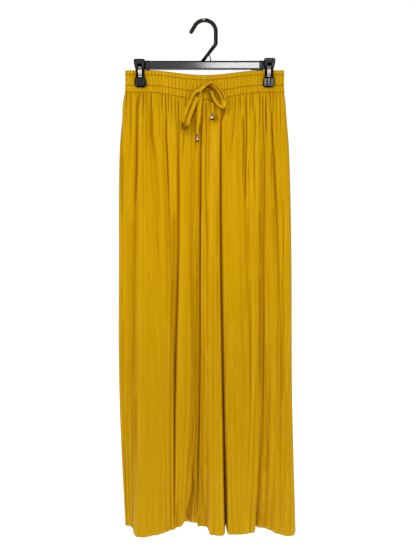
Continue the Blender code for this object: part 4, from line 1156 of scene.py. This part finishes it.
def finePleats(pleat, x, z, press, seed):
    # Depth that the pleats take off or add, by row and column, with fine lines pressed between them.
    height = cut["pleatHeight"] + nearSeam(z) * (cut["gatherHeight"] - cut["pleatHeight"])
    run = pleat + pleating["wander"] * (drift(pleat * 0.6 + 7, z / 170, seed) - 0.5)
    ridge = 2 * np.abs(np.cos(pi * run / 2)) ** pleating["round"] - 1
    strength = pleating["least"] + pleating["spread"] * drift(pleat * 0.42, z / 330 + 3, seed + 1)
    wave = height * ridge * np.clip(strength * press, 0, pleating["most"])
    line = 0.0
    for share, offset in pleating["lines"]:
        half = run + offset + pleating["lineWander"] * drift(pleat * 0.9, z / 240, seed + 2)
        notch = np.clip(1 - np.abs((half + 0.5) % 1 - 0.5) / pleating["lineHalf"], 0, 1)
        kept = np.clip(1.6 * drift(pleat * 0.8 + 40 * offset, z / 200, seed + 3) - 0.35, 0, 1)
        line = line - share * notch * kept
    broad, narrow = pleating["soft"]
    soft = broad * (drift(x / 17, z / 260, seed + 4) - 0.5) + narrow * (drift(x / 8, z / 120, seed + 5) - 0.5)
    return wave + line * press + soft


def crinkleHeight(x, z, leg, side):
    total = np.zeros_like(x)
    for mark in crinkles[(leg, side)]:
        lean = radians(mark.lean)
        along = (x - mark.x) * sin(lean) + (mark.z - z) * cos(lean)
        off = (x - mark.x) * cos(lean) - (mark.z - z) * sin(lean) + 0.0006 * along ** 2
        taper = ease((mark.length / 2 - np.abs(along)) / (mark.length / 2))
        ridge = bell(off, 0, mark.width) - 0.7 * bell(off, 1.7 * mark.width, mark.width)
        total = total + mark.height * taper * ridge
    return total


def drawnCreases(x, z, depth, leg, side):
    # Depth that the kept creases take off or add, with how much painted shade and painted highlight each
    # point takes.
    near = camera["distance"] / (camera["distance"] - depth)
    x = camera["x"] + (x - camera["x"]) * near
    z = camera["z"] + (z - camera["z"]) * near
    dark, pale = np.zeros_like(x), np.zeros_like(x)
    for crease in creases[(leg, side)]:
        xs, zs = zip(*crease.run)
        span = zs[0] - zs[-1]
        fall = min(creaseDrawing["fadeOut"], creaseDrawing["fadeShare"] * span)
        fadeIn = ease((zs[0] + creaseDrawing["above"] - z) / min(creaseDrawing["fadeIn"], span / 3))
        paintedTone = crease.dark * (fadeIn * ease((z - zs[-1] + creaseDrawing["past"] * fall) / fall))
        off = x - np.interp(-z, -np.array(zs), xs)
        narrowing = creaseDrawing["narrowing"] if crease.left + crease.right < creaseDrawing["narrow"] else 1
        slope = bell(off, 0, narrowing * np.where(off < 0, crease.left, crease.right))
        roll = bell(off, creaseDrawing["rollAt"] * crease.right, creaseDrawing["rollHalf"] * crease.right)
        dark = np.maximum(dark, paintedTone * slope)
        pale = np.maximum(pale, -paintedTone * slope if crease.dark < 0 else creaseDrawing["rollShare"] * paintedTone * roll)
    return creaseDrawing["depth"] * (creaseDrawing["paleRise"] * pale - dark), dark, pale


def curlEdge(x, z):
    # The curl's edge at each height, and how far each point is past it, from 0 to 1.
    edgeX = downTable(z, curl["line"])
    return edgeX, ease((x - edgeX + curl["edge"]) / (2 * curl["edge"]))


def curlChange(x, z):
    # Depth that the curl adds or takes off, and how far it is in shade.
    edgeX, past = curlEdge(x, z)
    grown = ease((curl["topZ"] - z) / (curl["topZ"] - curl["fullZ"]))
    forward = curl["forward"] * bell(x, edgeX, curl["forwardReach"])
    behind = curl["behind"] * np.exp(-np.maximum(x - edgeX, 0) / curl["behindReach"])
    return grown * ((1 - past) * forward - past * behind), grown * bell(x, edgeX + 0.8, 1.6)


def cornerLift(x, z):
    # The curled corner of the hem rises to the curl's edge.
    before = np.maximum(curl["cornerX"] - x, 0)
    lift = curl["lift"] * bell(before, 0, curl["liftReach"]) * (1 - curlEdge(x - curl["liftPast"], z)[1])
    return lift * ease((curl["liftFrom"] - z) / (curl["liftFrom"] - levelZ[-1]))


def sunkShade(kind, depth, reach):
    share, full = shading[kind]
    return share * creaseFrom(depth, reach, full)


def makeLegPanel(name, node, leg, side, seed):
    curled = (leg, side) == (left, front)
    heights = np.concatenate([np.linspace(levelZ[0], levelZ[1], cut["topRows"], endpoint=False),
                              np.linspace(levelZ[1], levelZ[-1], cut["lowRows"] + 1)])
    x, depth, pleat, weight = legForm(leg, side, heights)
    pleat, soft = pleat[None, :], np.clip(weight, 0, 1)[None, :]
    z = heights[:, None].repeat(x.shape[1], 1)
    fall = levelZ[0] - z
    pressed = pressing(x, z, leg, side)
    drawn, dark, pale = drawnCreases(x, z, depth, leg, side)
    change = finePleats(pleat, x, z, 1 + pressed, seed) + crinkleHeight(x, z, leg, side) + drawn
    if curled:
        rolled, shade = curlChange(x, z)
        change = change + rolled
        dark = np.clip(dark + curl["shade"] * shade, 0, 1)
    change = (change - gatherDepth(x[:1].repeat(len(x), 0), fall, seed + 6)) * soft

    # The change is laid on square to the cloth, mostly in depth.
    wide, deep = np.gradient(x, axis=1), np.gradient(depth, axis=1)
    size = np.sqrt(wide ** 2 + deep ** 2) + 1e-6
    tilt = np.clip(np.abs(wide) / size, cut["leastTilt"], 1)
    x = x + change * -deep / size * np.sign(wide + 1e-9) * (1 - tilt) * cut["sideways"]
    depth = depth + change * tilt
    outZ = z + nearSeam(z) * (bandSeamZ(x) - cut["underSeam"] - levelZ[0])
    tucked = fall < 0.1
    depth = np.where(tucked, bandDepth(x) - cut["tuckBack"], depth)
    outZ = outZ + cut["tuckRise"] * tucked
    if curled:
        outZ = outZ + cornerLift(x, z)
    waveZ, waveFade = cut["hemWaveZ"]
    outZ = outZ + ease((waveZ - z) / waveFade) * cut["hemWave"] * (drift(pleat * 1.1, 0, seed + 8) - 0.5)
    surface = np.stack([x, side * depth, outZ], axis=-1)

    # Painted shade in the panel's hollows, along the drawn creases and under the casing; painted highlight on
    # its crests and drawn pale rolls.
    broad, fine = 2 * cut["fine"][side], cut["fine"][side] // 2 + 1
    share, fade = shading["underBand"]
    crease = sunkShade("broad", depth, broad) + sunkShade("fine", depth, fine)
    crease = np.clip(crease + dark + share * np.exp(-fall / fade), 0, 1)
    crest = np.clip(sunkShade("crest", -depth, fine) + pale, 0, 1) * (1 - crease)
    paintedTone = crease, crest, shading["calm"] * pressed
    return clothShell(name, node, surface, paintedTone, cut["wall"], leg * side > 0, clothMaterial), surface


panels = {
    "FrontLeft": makeLegPanel("legFrontLeftPleats", "leg_front_left", left, front, 101),
    "FrontRight": makeLegPanel("legFrontRightPleats", "leg_front_right", right, front, 202),
    "BackLeft": makeLegPanel("legBackLeftPleats", "leg_back_left", left, back, 303),
    "BackRight": makeLegPanel("legBackRightPleats", "leg_back_right", right, back, 404),
}
print("leg panels made")


# The hanger: a bar with a rim over its sunken face, an open hook on a slanting shank, and a tongue in
# each clip.
hanger = {
    "barHalf": 127.4, "barTop": -83.8, "barBottom": -102, "barDepth": 4, "barRings": 65,
    "rim": 2.8, "sunk": 0.8, "lower": 2.2,
    "collarWidth": 9, "collarInset": 0.6, "collarDepth": 5.6, "collarZ": (-83.4, -103.2), "collarRound": 2.2,
    "tongueX": 147, "tongueZ": (-85, -100), "tongueDepth": 2.35, "tongueRound": 0.5,
    "lipX": (100, 125.5), "lipZ": (-101, -103.2), "lipDepth": 1.5, "lipRound": 0.5,
    "hookRadius": 24.3, "tube": 4.3, "footTube": 3.3, "openAngle": 150, "tipLength": 17.5,
    "bendZ": -47, "foot": (-7.5, -88), "bendRadius": 9,
    "shankRidge": ((19.8, -3.9, -53.5), (-3.3, -3.9, -83.5)), "ridgeRadius": 0.75,
    "rib": ((8.2, 0, -62.5), (10.9, 0, -71.5), (13.8, 0, -83.5)), "ribRadius": ((0, 1.0), (1, 1.0), (2, 1.3)),
}


def addBlock(shape, low, high, rounding, segments):
    # A block with rounded edges, into an open bmesh.
    made = bmesh.ops.create_cube(shape, size=1)["verts"]
    middle = (Vector(low) + Vector(high)) / 2 * mm
    size = (Vector(high) - Vector(low)) * mm
    bmesh.ops.transform(shape, matrix=Matrix.Translation(middle) @ Matrix.Diagonal((*size, 1)), verts=made)
    edges = {edge for vert in made for edge in vert.link_edges}
    bmesh.ops.bevel(shape, geom=list(edges), offset=rounding * mm, segments=segments, affect="EDGES",
                    profile=0.5)


def joinRings(shape, rings):
    # Faces between rings of points, and over the first and the last ring.
    rings = [[shape.verts.new(Vector(point) * mm) for point in ring] for ring in rings]
    for ringA, ringB in zip(rings, rings[1:]):
        for k in range(len(ringA)):
            after = (k + 1) % len(ringA)
            shape.faces.new((ringA[k], ringA[after], ringB[after], ringB[k]))
    shape.faces.new(rings[0])
    shape.faces.new(rings[-1])


def addTube(shape, path, radii, sides):
    # A round tube along a path in a plane of constant y, with domed ends.
    path, radii = np.asarray(path, float), np.asarray(radii, float)
    along = unitRows(np.gradient(path, axis=0))
    angle = np.linspace(0, 2 * pi, sides, endpoint=False)[:, None]
    dome = [(cos(a), max(sin(a), 0.04)) for a in np.arange(5) * pi / 10]
    start, end = along[0] * radii[0], along[-1] * radii[-1]
    stations = [(path[0] - start * out, radii[0] * size, along[0]) for out, size in dome]
    stations += zip(path, radii, along)
    stations += [(path[-1] + end * out, radii[-1] * size, along[-1]) for out, size in dome[::-1]]
    rings = []
    for centre, radius, tangent in stations:
        across = np.cross(tangent, (0, 1, 0))
        across /= np.linalg.norm(across)
        rings.append(centre + radius * (np.cos(angle) * across + np.sin(angle) * np.array((0, 1, 0))))
    joinRings(shape, rings)


def arc(centreX, centreZ, radius, angles):
    return [np.array((centreX + radius * cos(angle), 0, centreZ + radius * sin(angle))) for angle in angles]


def hookPath():
    # The middle line of the hook: from its tip round the bend, then down the slanting shank to the bar.
    radius, centreZ = hanger["hookRadius"], hanger["tube"] - hanger["hookRadius"]
    openAngle = radians(hanger["openAngle"])
    end = arc(0, centreZ, radius, [openAngle])[0]
    tip = end + hanger["tipLength"] * np.array((-sin(openAngle), 0, cos(openAngle)))
    points = [tip * (1 - t) + end * t for t in np.linspace(0.16, 0.95, 8)]
    points += arc(0, centreZ, radius, np.linspace(openAngle, 0, 48))
    footX, footZ = hanger["foot"]
    slant = atan2(footX - radius, hanger["bendZ"] - footZ)
    inset = hanger["bendRadius"] * abs(tan(slant / 2))
    points += arc(radius - hanger["bendRadius"], hanger["bendZ"] + inset, hanger["bendRadius"],
                  np.linspace(0, slant, 12))
    last, foot = points[-1], np.array((footX, 0, footZ))
    return np.array(points + [last + (foot - last) * t for t in np.linspace(0.12, 1, 8)])


def makeHanger():
    shape = bmesh.new()
    depth, top, bottom = hanger["barDepth"], hanger["barTop"], hanger["barBottom"]
    face, rim, lower = depth - hanger["sunk"], top - hanger["rim"], bottom + hanger["lower"]
    # Half of the bar's section from its top down, as y and z: the rim, the sunken face, the lower edge.
    half = [(depth - 0.9, top), (depth - 0.25, top - 0.25), (depth, top - 0.9), (depth, rim + 0.4),
            (depth - 0.15, rim), (face, rim - 0.7), (face, lower + 0.6), (depth - 0.2, lower),
            (depth - 0.1, bottom + 0.5), (depth - 0.6, bottom)]
    outline = [(-y, z) for y, z in half] + [(y, z) for y, z in half[::-1]]
    joinRings(shape, [[(x, y, z) for y, z in outline]
                      for x in np.linspace(-hanger["barHalf"], hanger["barHalf"], hanger["barRings"])])

    tongueTop, tongueBottom = hanger["tongueZ"]
    addBlock(shape, (-hanger["tongueX"], -hanger["tongueDepth"], tongueBottom),
             (hanger["tongueX"], hanger["tongueDepth"], tongueTop), hanger["tongueRound"], 2)
    collarTop, collarBottom = hanger["collarZ"]
    outer = hanger["barHalf"] - hanger["collarInset"]
    for leg in (left, right):
        low, high = sorted((leg * outer, leg * (outer - hanger["collarWidth"])))
        addBlock(shape, (low, -hanger["collarDepth"], collarBottom), (high, hanger["collarDepth"], collarTop),
                 hanger["collarRound"], 4)
    lipTop, lipBottom = hanger["lipZ"]
    addBlock(shape, (hanger["lipX"][0], -hanger["lipDepth"], lipBottom),
             (hanger["lipX"][1], hanger["lipDepth"], lipTop), hanger["lipRound"], 2)

    path = hookPath()
    slimming = ((hanger["foot"][1], hanger["footTube"]), (hanger["bendZ"] + 4, hanger["tube"]))
    addTube(shape, path, tableAt(path[:, 2], slimming), 36)
    ridge = np.linspace(*hanger["shankRidge"], 9)
    addTube(shape, ridge, np.full(len(ridge), hanger["ridgeRadius"]), 12)
    rib = smoothPath(hanger["rib"], 1.5)[0]
    addTube(shape, rib, tableAt(np.linspace(0, 2, len(rib)), hanger["ribRadius"]), 14)

    bmesh.ops.recalc_face_normals(shape, faces=shape.faces)
    mesh = bpy.data.meshes.new("hangerMoulding")
    shape.to_mesh(mesh)
    shape.free()
    standFor(newObject("hangerMoulding", mesh, hangerMaterial, 34), "hanger_frame")


makeHanger()
print("hanger made")

# The clips. A jaw's outline is half its width at each height; its front is carved into flanges round the
# window, a scooped waist, and a sunken paddle with a grip of small raised squares. The spring's profile is
# how far it lies behind its front at each height, and its shade how much painted shade it takes there.
clip = {
    "x": {left: -139.6, right: 139.6}, "lean": 2.6, "top": {left: -81.2, right: -79.2}, "bottom": -141,
    "face": 2.95, "depth": 6.0, "round": 1.5,
    "outline": (
        (-80.2, 8.5), (-80.6, 10.2), (-81.8, 11.6), (-83.6, 12.2), (-88, 12.2), (-91.5, 11.8), (-95.5, 10.9),
        (-99.5, 10.0), (-103.5, 9.2), (-108, 9.0), (-112, 8.9), (-115.8, 9.1), (-118, 9.6), (-120.5, 10.5),
        (-124, 11.6), (-128, 12.3), (-133, 12.5), (-136.3, 12.1), (-138.6, 10.9), (-140.2, 8.9), (-141, 6.6)),
    "windowHalf": 4.7, "windowZ": (-90.4, -120.2), "windowDepth": 0.7, "flangeSink": 1.3,
    "scoopZ": -108, "scoopRadius": 13, "scoopDepth": 2.3,
    "paddleZ": -122.4, "paddleSink": 0.8, "paddleRim": 1.7,
    "flank": (0, 0.12, 0.4, 0.8, 1.3, 1.9, 2.4, 2.9), "inWindow": (4, 2.7, 1.35), "sill": 0.02,
    "gripColumns": 3, "gripRows": 5, "gripPitch": (7.3, 3.5), "gripSize": (5.0, 2.4, 0.75),
    "gripTopZ": -124.8, "gripBed": 0.1,
    "waistZ": (-97, -124), "waistDark": 0.9, "waistPale": (2.6, 0.8, 0.35), "paddleDark": 0.75,
    "rimDark": (0.9, 1.3), "browHalf": 2.6,
}
spring = {
    "half": 4.1, "wall": 0.9, "front": 4.9, "rows": 70, "nip": 0.45, "nipZ": (-96.5, -112.3),
    "across": (-1, -0.94, -0.5, 0, 0.5, 0.94, 1), "edgeFall": (0.25, 0, 0, 0, 0, 0, 0.25),
    "profile": (
        (-95.4, 0.9), (-96.8, 0.25), (-98.2, 1.1), (-99.8, 0.95), (-101.2, 0.1), (-103.4, -0.1),
        (-107.4, -0.35), (-111, -0.1), (-112.8, 0.35), (-114, 0.9), (-115.2, 1.0), (-116, 0.1),
        (-117.4, -0.35), (-118.8, -0.2), (-119.5, 0.5)),
    "shade": (
        (-95.4, 0.9), (-96.6, 0.6), (-98, 0.8), (-99.4, 0.6), (-101, 0.75), (-103, 0.7), (-104.2, 0.1),
        (-106, 0.0), (-108.6, 0.25), (-110, 0.05), (-113.4, 0.0), (-114.2, 0.9), (-115.4, 0.8), (-116, 0.0),
        (-118.9, 0.0), (-119.5, 0.9)),
}
jawTop, jawBottom = clip["outline"][0][0], clip["outline"][-1][0]
windowTop, windowBottom = clip["windowZ"]


def clipPlace(leg, points):
    # Each clip hangs a little aslant, and its foot lies nearer to the middle than its top.
    x, y, z = np.moveaxis(np.asarray(points, float), -1, 0)
    share = (jawTop - z) / (jawTop - jawBottom)
    top, middle = clip["top"][leg], clip["x"][leg] - leg * clip["lean"] * share
    return np.stack([middle + x, y, top + (clip["bottom"] - top) * share], -1)


def jawShade(x, z, half):
    # Painted shade, where a jaw is deep black: its rim, its window, its narrow waist, its paddle and its
    # brow.
    edge = half - np.abs(x)
    rim = np.minimum(np.minimum(edge, jawTop - z), z - jawBottom)
    (waistTop, waistBottom), (paleAt, paleHalf, pale) = clip["waistZ"], clip["waistPale"]
    waist = ease((waistTop - z) / 9) * ease((z - waistBottom) / 3) * (1 - pale * bell(edge, paleAt, paleHalf))
    hole = (np.abs(x) < clip["windowHalf"] + 0.6) & (z < windowTop + 0.4) & (z > windowBottom - 0.8)
    paddle = ease((clip["paddleZ"] + 1 - z) / 2)
    brow = bell(z, jawTop, clip["browHalf"], 4)
    rimStart, rimFade = clip["rimDark"]
    return np.max([1 - ease((rim - rimStart) / rimFade), clip["waistDark"] * waist, hole,
                   clip["paddleDark"] * paddle, brow], axis=0)


def jawDepth(x, z, half):
    # How far the jaw's front stands off its flat back.
    edge = half - np.abs(x)
    bowl = np.sqrt(np.maximum(0, clip["scoopRadius"] ** 2 - (z - clip["scoopZ"]) ** 2))
    depth = clip["depth"] - np.maximum(0, bowl - clip["scoopRadius"] + clip["scoopDepth"])
    beside = ease((windowTop + 5 - z) / 5) * ease((z - windowBottom + 3) / 4)
    depth = depth - clip["flangeSink"] * ease((edge - 1.6) / 3.0) * beside
    onPaddle = ease((clip["paddleZ"] + 1.2 - z) / 1.2) * ease((z - jawBottom - 1.0) / 1.2)
    depth = depth - clip["paddleSink"] * onPaddle * ease((edge - clip["paddleRim"]) / 0.7)
    rim = np.minimum(np.minimum(edge, jawTop - z + 0.25), z - jawBottom + 0.25)
    t = np.clip(1 - rim / clip["round"], 0, 1)
    depth = depth - clip["round"] * (1 - np.sqrt(1 - t ** 2))
    inWindow = (np.abs(x) < clip["windowHalf"]) & (z < windowTop) & (z > windowBottom)
    return np.where(inWindow, clip["windowDepth"], depth)


def plateMesh(name, outer, inner, outerShade, innerShade):
    # A solid plate between two grids of points, closed round its rim.
    rows, columns = outer.shape[:2]
    behind = rows * columns
    faces = gridFaces(rows, columns)
    faces += [tuple(i + behind for i in face[::-1]) for face in faces]
    index = np.arange(behind).reshape(rows, columns)
    rim = np.concatenate([index[0], index[1:, -1], index[-1, -2::-1], index[-2:0:-1, 0]]).tolist()
    faces += [(a, b, b + behind, a + behind) for a, b in zip(rim, rim[1:] + rim[:1])]
    mesh = meshFrom(name, np.concatenate([outer, inner]).reshape(-1, 3), faces)
    paintShading(mesh, np.concatenate([outerShade, innerShade]))
    return outwards(mesh)


def makeJaw(name, node, leg, side):
    sills = [z + step for z in clip["windowZ"] for step in (clip["sill"], -clip["sill"])]
    z = np.array(sorted({*np.linspace(jawTop, jawTop - 5, 9), *np.linspace(jawTop - 5, jawBottom, 60),
                         *np.linspace(jawBottom + 5, jawBottom, 9), *sills}, reverse=True))[:, None]
    half = downTable(z, clip["outline"])
    flank = half - clip["flank"]
    between = np.linspace(flank[:, -1], clip["windowHalf"] + clip["sill"], 5, axis=1)[:, 1:]
    inside = (clip["windowHalf"] - clip["sill"], *clip["inWindow"]) + 0 * z
    run = np.concatenate([flank, between, inside], 1)
    x = np.concatenate([-run, 0 * z, run[:, ::-1]], 1)
    z = z + 0 * x
    outer = clipPlace(leg, np.stack([x, side * (clip["face"] + jawDepth(x, z, half)), z], -1))
    inner = outer.copy()
    inner[..., 1] = side * clip["face"]
    # Painted shade on the jaw's front where jawShade marks it, and over the whole of its flat back.
    mesh = plateMesh(name, outer, inner, jawShade(x, z, half), np.ones_like(x))
    standFor(newObject(name, mesh, clipMaterial, 32), node)


def makeSpring(name, node, leg, side):
    z = np.linspace(spring["profile"][0][0], spring["profile"][-1][0], spring["rows"])
    fall = np.pad(downTable(z, spring["profile"]), 2, mode="edge")
    fall = np.convolve(fall, np.array((1, 2, 3, 2, 1)) / 9, mode="valid")[:, None]
    z = z[:, None]
    half = spring["half"] - sum(spring["nip"] * bell(z, middle, 1.2) for middle in spring["nipZ"])
    y = side * (spring["front"] - fall - spring["edgeFall"])
    outer = clipPlace(leg, np.stack([half * spring["across"], y, z + 0 * y], -1))
    inner = outer.copy()
    inner[..., 1] -= side * spring["wall"]
    # Painted shade in bands down the bent steel.
    shade = downTable(z, spring["shade"]) + 0 * y
    mesh = plateMesh(name, outer, inner, shade, shade)
    standFor(newObject(name, mesh, springMaterial, 40), node)


class Tree:
    # A Geometry Nodes tree with named inputs for its sizes.
    def __init__(self, name, inputs):
        self.tree = bpy.data.node_groups.new(name, "GeometryNodeTree")
        face = self.tree.interface
        face.new_socket("Geometry", in_out="INPUT", socket_type="NodeSocketGeometry")
        face.new_socket("Geometry", in_out="OUTPUT", socket_type="NodeSocketGeometry")
        for socket, kind in {**inputs, "Material": "Material"}.items():
            face.new_socket(socket, in_out="INPUT", socket_type="NodeSocket" + kind)
        self.inputs = self.tree.nodes.new("NodeGroupInput").outputs
        self.end = self.tree.nodes.new("NodeGroupOutput")

    def node(self, kind, settings=None, sockets=None):
        made = self.tree.nodes.new(kind)
        for key, value in (settings or {}).items():
            setattr(made, key, value)
        for key, value in (sockets or {}).items():
            if isinstance(value, bpy.types.NodeSocket):
                self.tree.links.new(value, made.inputs[key])
            else:
                made.inputs[key].default_value = value
        return made.outputs

    def finish(self, geometry):
        realized = self.node("GeometryNodeRealizeInstances", sockets={"Geometry": geometry})
        finished = self.node("GeometryNodeSetMaterial", sockets={
            "Geometry": realized[0], "Material": self.inputs["Material"]})
        self.tree.links.new(finished[0], self.end.inputs[0])
        return self

    def run(self, name, mesh, material, slot, values):
        # The tree's result on a mesh, as an ordinary object.
        obj = bpy.data.objects.new(name, mesh)
        scene.collection.objects.link(obj)
        modifier = obj.modifiers.new(name, "NODES")
        modifier.node_group = self.tree
        values = {**values, "Material": material}
        for socket in self.tree.interface.items_tree:
            if socket.in_out == "INPUT" and socket.name in values:
                modifier[socket.identifier] = values[socket.name]
        plain(obj)
        obj.data.materials.clear()
        obj.data.materials.append(material)
        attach(obj, "root")


def gripTree():
    # A grid of small raised blocks.
    tree = Tree("clip grip", {"Columns": "Int", "Rows": "Int", "Width": "Float", "Height": "Float",
                              "Block": "Vector", "Centre": "Vector"})
    grid = tree.node("GeometryNodeMeshGrid", sockets={
        "Size X": tree.inputs["Width"], "Size Y": tree.inputs["Height"],
        "Vertices X": tree.inputs["Columns"], "Vertices Y": tree.inputs["Rows"]})
    upright = tree.node("GeometryNodeTransform", sockets={
        "Geometry": grid[0], "Rotation": (pi / 2, 0, 0), "Translation": tree.inputs["Centre"]})
    block = tree.node("GeometryNodeMeshCube", sockets={"Size": tree.inputs["Block"]})
    points = tree.node("GeometryNodeInstanceOnPoints", sockets={"Points": upright[0], "Instance": block[0]})
    return tree.finish(points[0])


def stitchTree():
    # Short threads laid end to end along a line.
    tree = Tree("running stitch", {"Pitch": "Float", "Thread": "Float", "Length": "Float"})
    line = tree.node("GeometryNodeMeshToCurve", sockets={"Mesh": tree.inputs["Geometry"]})
    spaced = tree.node("GeometryNodeResampleCurve", {"mode": "LENGTH"},
                       {"Curve": line[0], "Length": tree.inputs["Pitch"]})
    tangent = tree.node("GeometryNodeInputTangent")
    aim = tree.node("FunctionNodeAlignRotationToVector", {"axis": "X"}, {"Vector": tangent[0]})
    bead = tree.node("GeometryNodeMeshUVSphere", sockets={
        "Segments": 6, "Rings": 4, "Radius": tree.inputs["Thread"]})
    stretch = tree.node("ShaderNodeMath", {"operation": "DIVIDE"},
                        {0: tree.inputs["Length"], 1: tree.inputs["Thread"]})
    halved = tree.node("ShaderNodeMath", {"operation": "MULTIPLY"}, {0: stretch[0], 1: 0.5})
    scale = tree.node("ShaderNodeCombineXYZ", sockets={0: halved[0], 1: 1.0, 2: 1.0})
    thread = tree.node("GeometryNodeTransform", sockets={"Geometry": bead[0], "Scale": scale[0]})
    placed = tree.node("GeometryNodeInstanceOnPoints", sockets={
        "Points": spaced[0], "Instance": thread[0], "Rotation": aim[0]})
    return tree.finish(placed[0])


grips = gripTree()
pitchX, pitchZ = clip["gripPitch"]
blockX, blockZ, blockY = clip["gripSize"]
gripHeight = pitchZ * (clip["gripRows"] - 1)
gripDepth = clip["face"] + clip["depth"] - clip["paddleSink"] - clip["gripBed"]
for leg, legName in ((left, "Left"), (right, "Right")):
    for side, sideName in ((front, "Front"), (back, "Back")):
        place = (legName + "_" + sideName).lower()
        makeJaw("clipJaw" + legName + sideName, "clip_" + place, leg, side)
        makeSpring("clipSpring" + legName + sideName, "spring_" + place, leg, side)
        centre = clipPlace(leg, (0, side * gripDepth, clip["gripTopZ"] - gripHeight / 2))
        grip = {"Columns": clip["gripColumns"], "Rows": clip["gripRows"],
                "Width": pitchX * (clip["gripColumns"] - 1) * mm, "Height": gripHeight * mm,
                "Block": tuple(size * mm for size in (blockX, blockY, blockZ)), "Centre": tuple(centre * mm)}
        grips.run("clipGrip" + legName + sideName, bpy.data.meshes.new("grip"), gripMaterial,
                  "clip_plastic", grip)
print("clips made")

# Topstitching of the casing, and the overlocked hems.
stitching = {
    "row": {"Pitch": 2.3, "Length": 1.9, "Thread": 0.34},
    "hem": {"Pitch": 1.5, "Length": 1.5, "Thread": 0.32},
    "step": 0.7, "rowStand": 0.12, "hemRise": 0.1,
}
stitches = stitchTree()


def stitchAlong(name, kind, line, material):
    edges = [(k, k + 1) for k in range(len(line) - 1)]
    sizes = {key: size * mm for key, size in stitching[kind].items()}
    stitches.run(name, meshFrom(kind, line, edges=edges), material, "cloth", sizes)


for side, sideName in ((front, "Front"), (back, "Back")):
    for share, rowName in zip(band["stitchRows"], ("Upper", "Lower")):
        x = np.arange(band["leftX"] + 1, band["rightX"] - 1, stitching["step"])[None, :]
        line = bandSurface(x, share + 0 * x, side)[0] + (0, side * stitching["rowStand"], 0)
        stitchAlong("bandStitches" + sideName + rowName, "row", line, threadMaterial)
for place, (panel, surface) in panels.items():
    stitchAlong("hemStitches" + place, "hem", surface[-1] + (0, 0, stitching["hemRise"]), edgeThreadMaterial)
print("stitching made")
# Lamps are area lights, each with its place, the point that it faces, its width and height, and its power.
Lamp = namedtuple("Lamp", "name place aim size power")
lamps = (
    Lamp("key light", (-1150, -1500, 300), (0, 0, -520), (800, 800), 7),
    Lamp("window", (-800, -1350, 750), (0, 0, -520), (170, 170), 7),
    Lamp("bar glare", (190, -2000, 572), (60, 0, -92), (390, 170), 5.0),
    Lamp("side fill", (1300, -900, -500), (0, 0, -520), (900, 900), 3),
)
stage = {"ambient": 0.36, "paper": 1.05, "floorZ": -1330, "floorHalf": 4500, "floorGlow": 0.8}


def makeLamp(lamp):
    data = bpy.data.lights.new(lamp.name, "AREA")
    data.energy = lamp.power
    data.shape = "RECTANGLE"
    data.size, data.size_y = (side * mm for side in lamp.size)
    obj = bpy.data.objects.new(lamp.name, data)
    obj.location = Vector(lamp.place) * mm
    obj.rotation_euler = (Vector(lamp.aim) * mm - obj.location).to_track_quat("-Z", "Y").to_euler()
    scene.collection.objects.link(obj)


def makeStage():
    # The camera sees white paper behind the garment, and a dimmer white lights it from all sides.
    world = bpy.data.worlds.new("studio")
    world.use_nodes = True
    scene.world = world
    nodes, links = world.node_tree.nodes, world.node_tree.links
    ambient, paper = nodes["Background"], nodes.new("ShaderNodeBackground")
    for glow, key in ((ambient, "ambient"), (paper, "paper")):
        glow.inputs["Color"].default_value = (1, 1, 1, 1)
        glow.inputs["Strength"].default_value = stage[key]
    seen = nodes.new("ShaderNodeLightPath")
    choose = nodes.new("ShaderNodeMixShader")
    links.new(seen.outputs["Is Camera Ray"], choose.inputs[0])
    links.new(ambient.outputs[0], choose.inputs[1])
    links.new(paper.outputs[0], choose.inputs[2])
    links.new(choose.outputs[0], nodes["World Output"].inputs["Surface"])

    corners = [(x * stage["floorHalf"], y * stage["floorHalf"], stage["floorZ"])
               for x, y in ((-1, -1), (1, -1), (1, 1), (-1, 1))]
    floor = bpy.data.objects.new("paleFloor", meshFrom("paleFloor", corners, [(0, 1, 2, 3)]))
    scene.collection.objects.link(floor)
    paint = Paint("pale floor", {"Roughness": 0.9, "Base Color": (0.93, 0.93, 0.92),
                                 "Emission Color": (1.0, 1.0, 1.0), "Emission Strength": stage["floorGlow"]})
    floor.data.materials.append(paint.material)

    for lamp in lamps:
        makeLamp(lamp)
    scene.view_settings.view_transform = "Standard"
    scene.view_settings.look = "None"


makeStage()
print("stage and lights made")
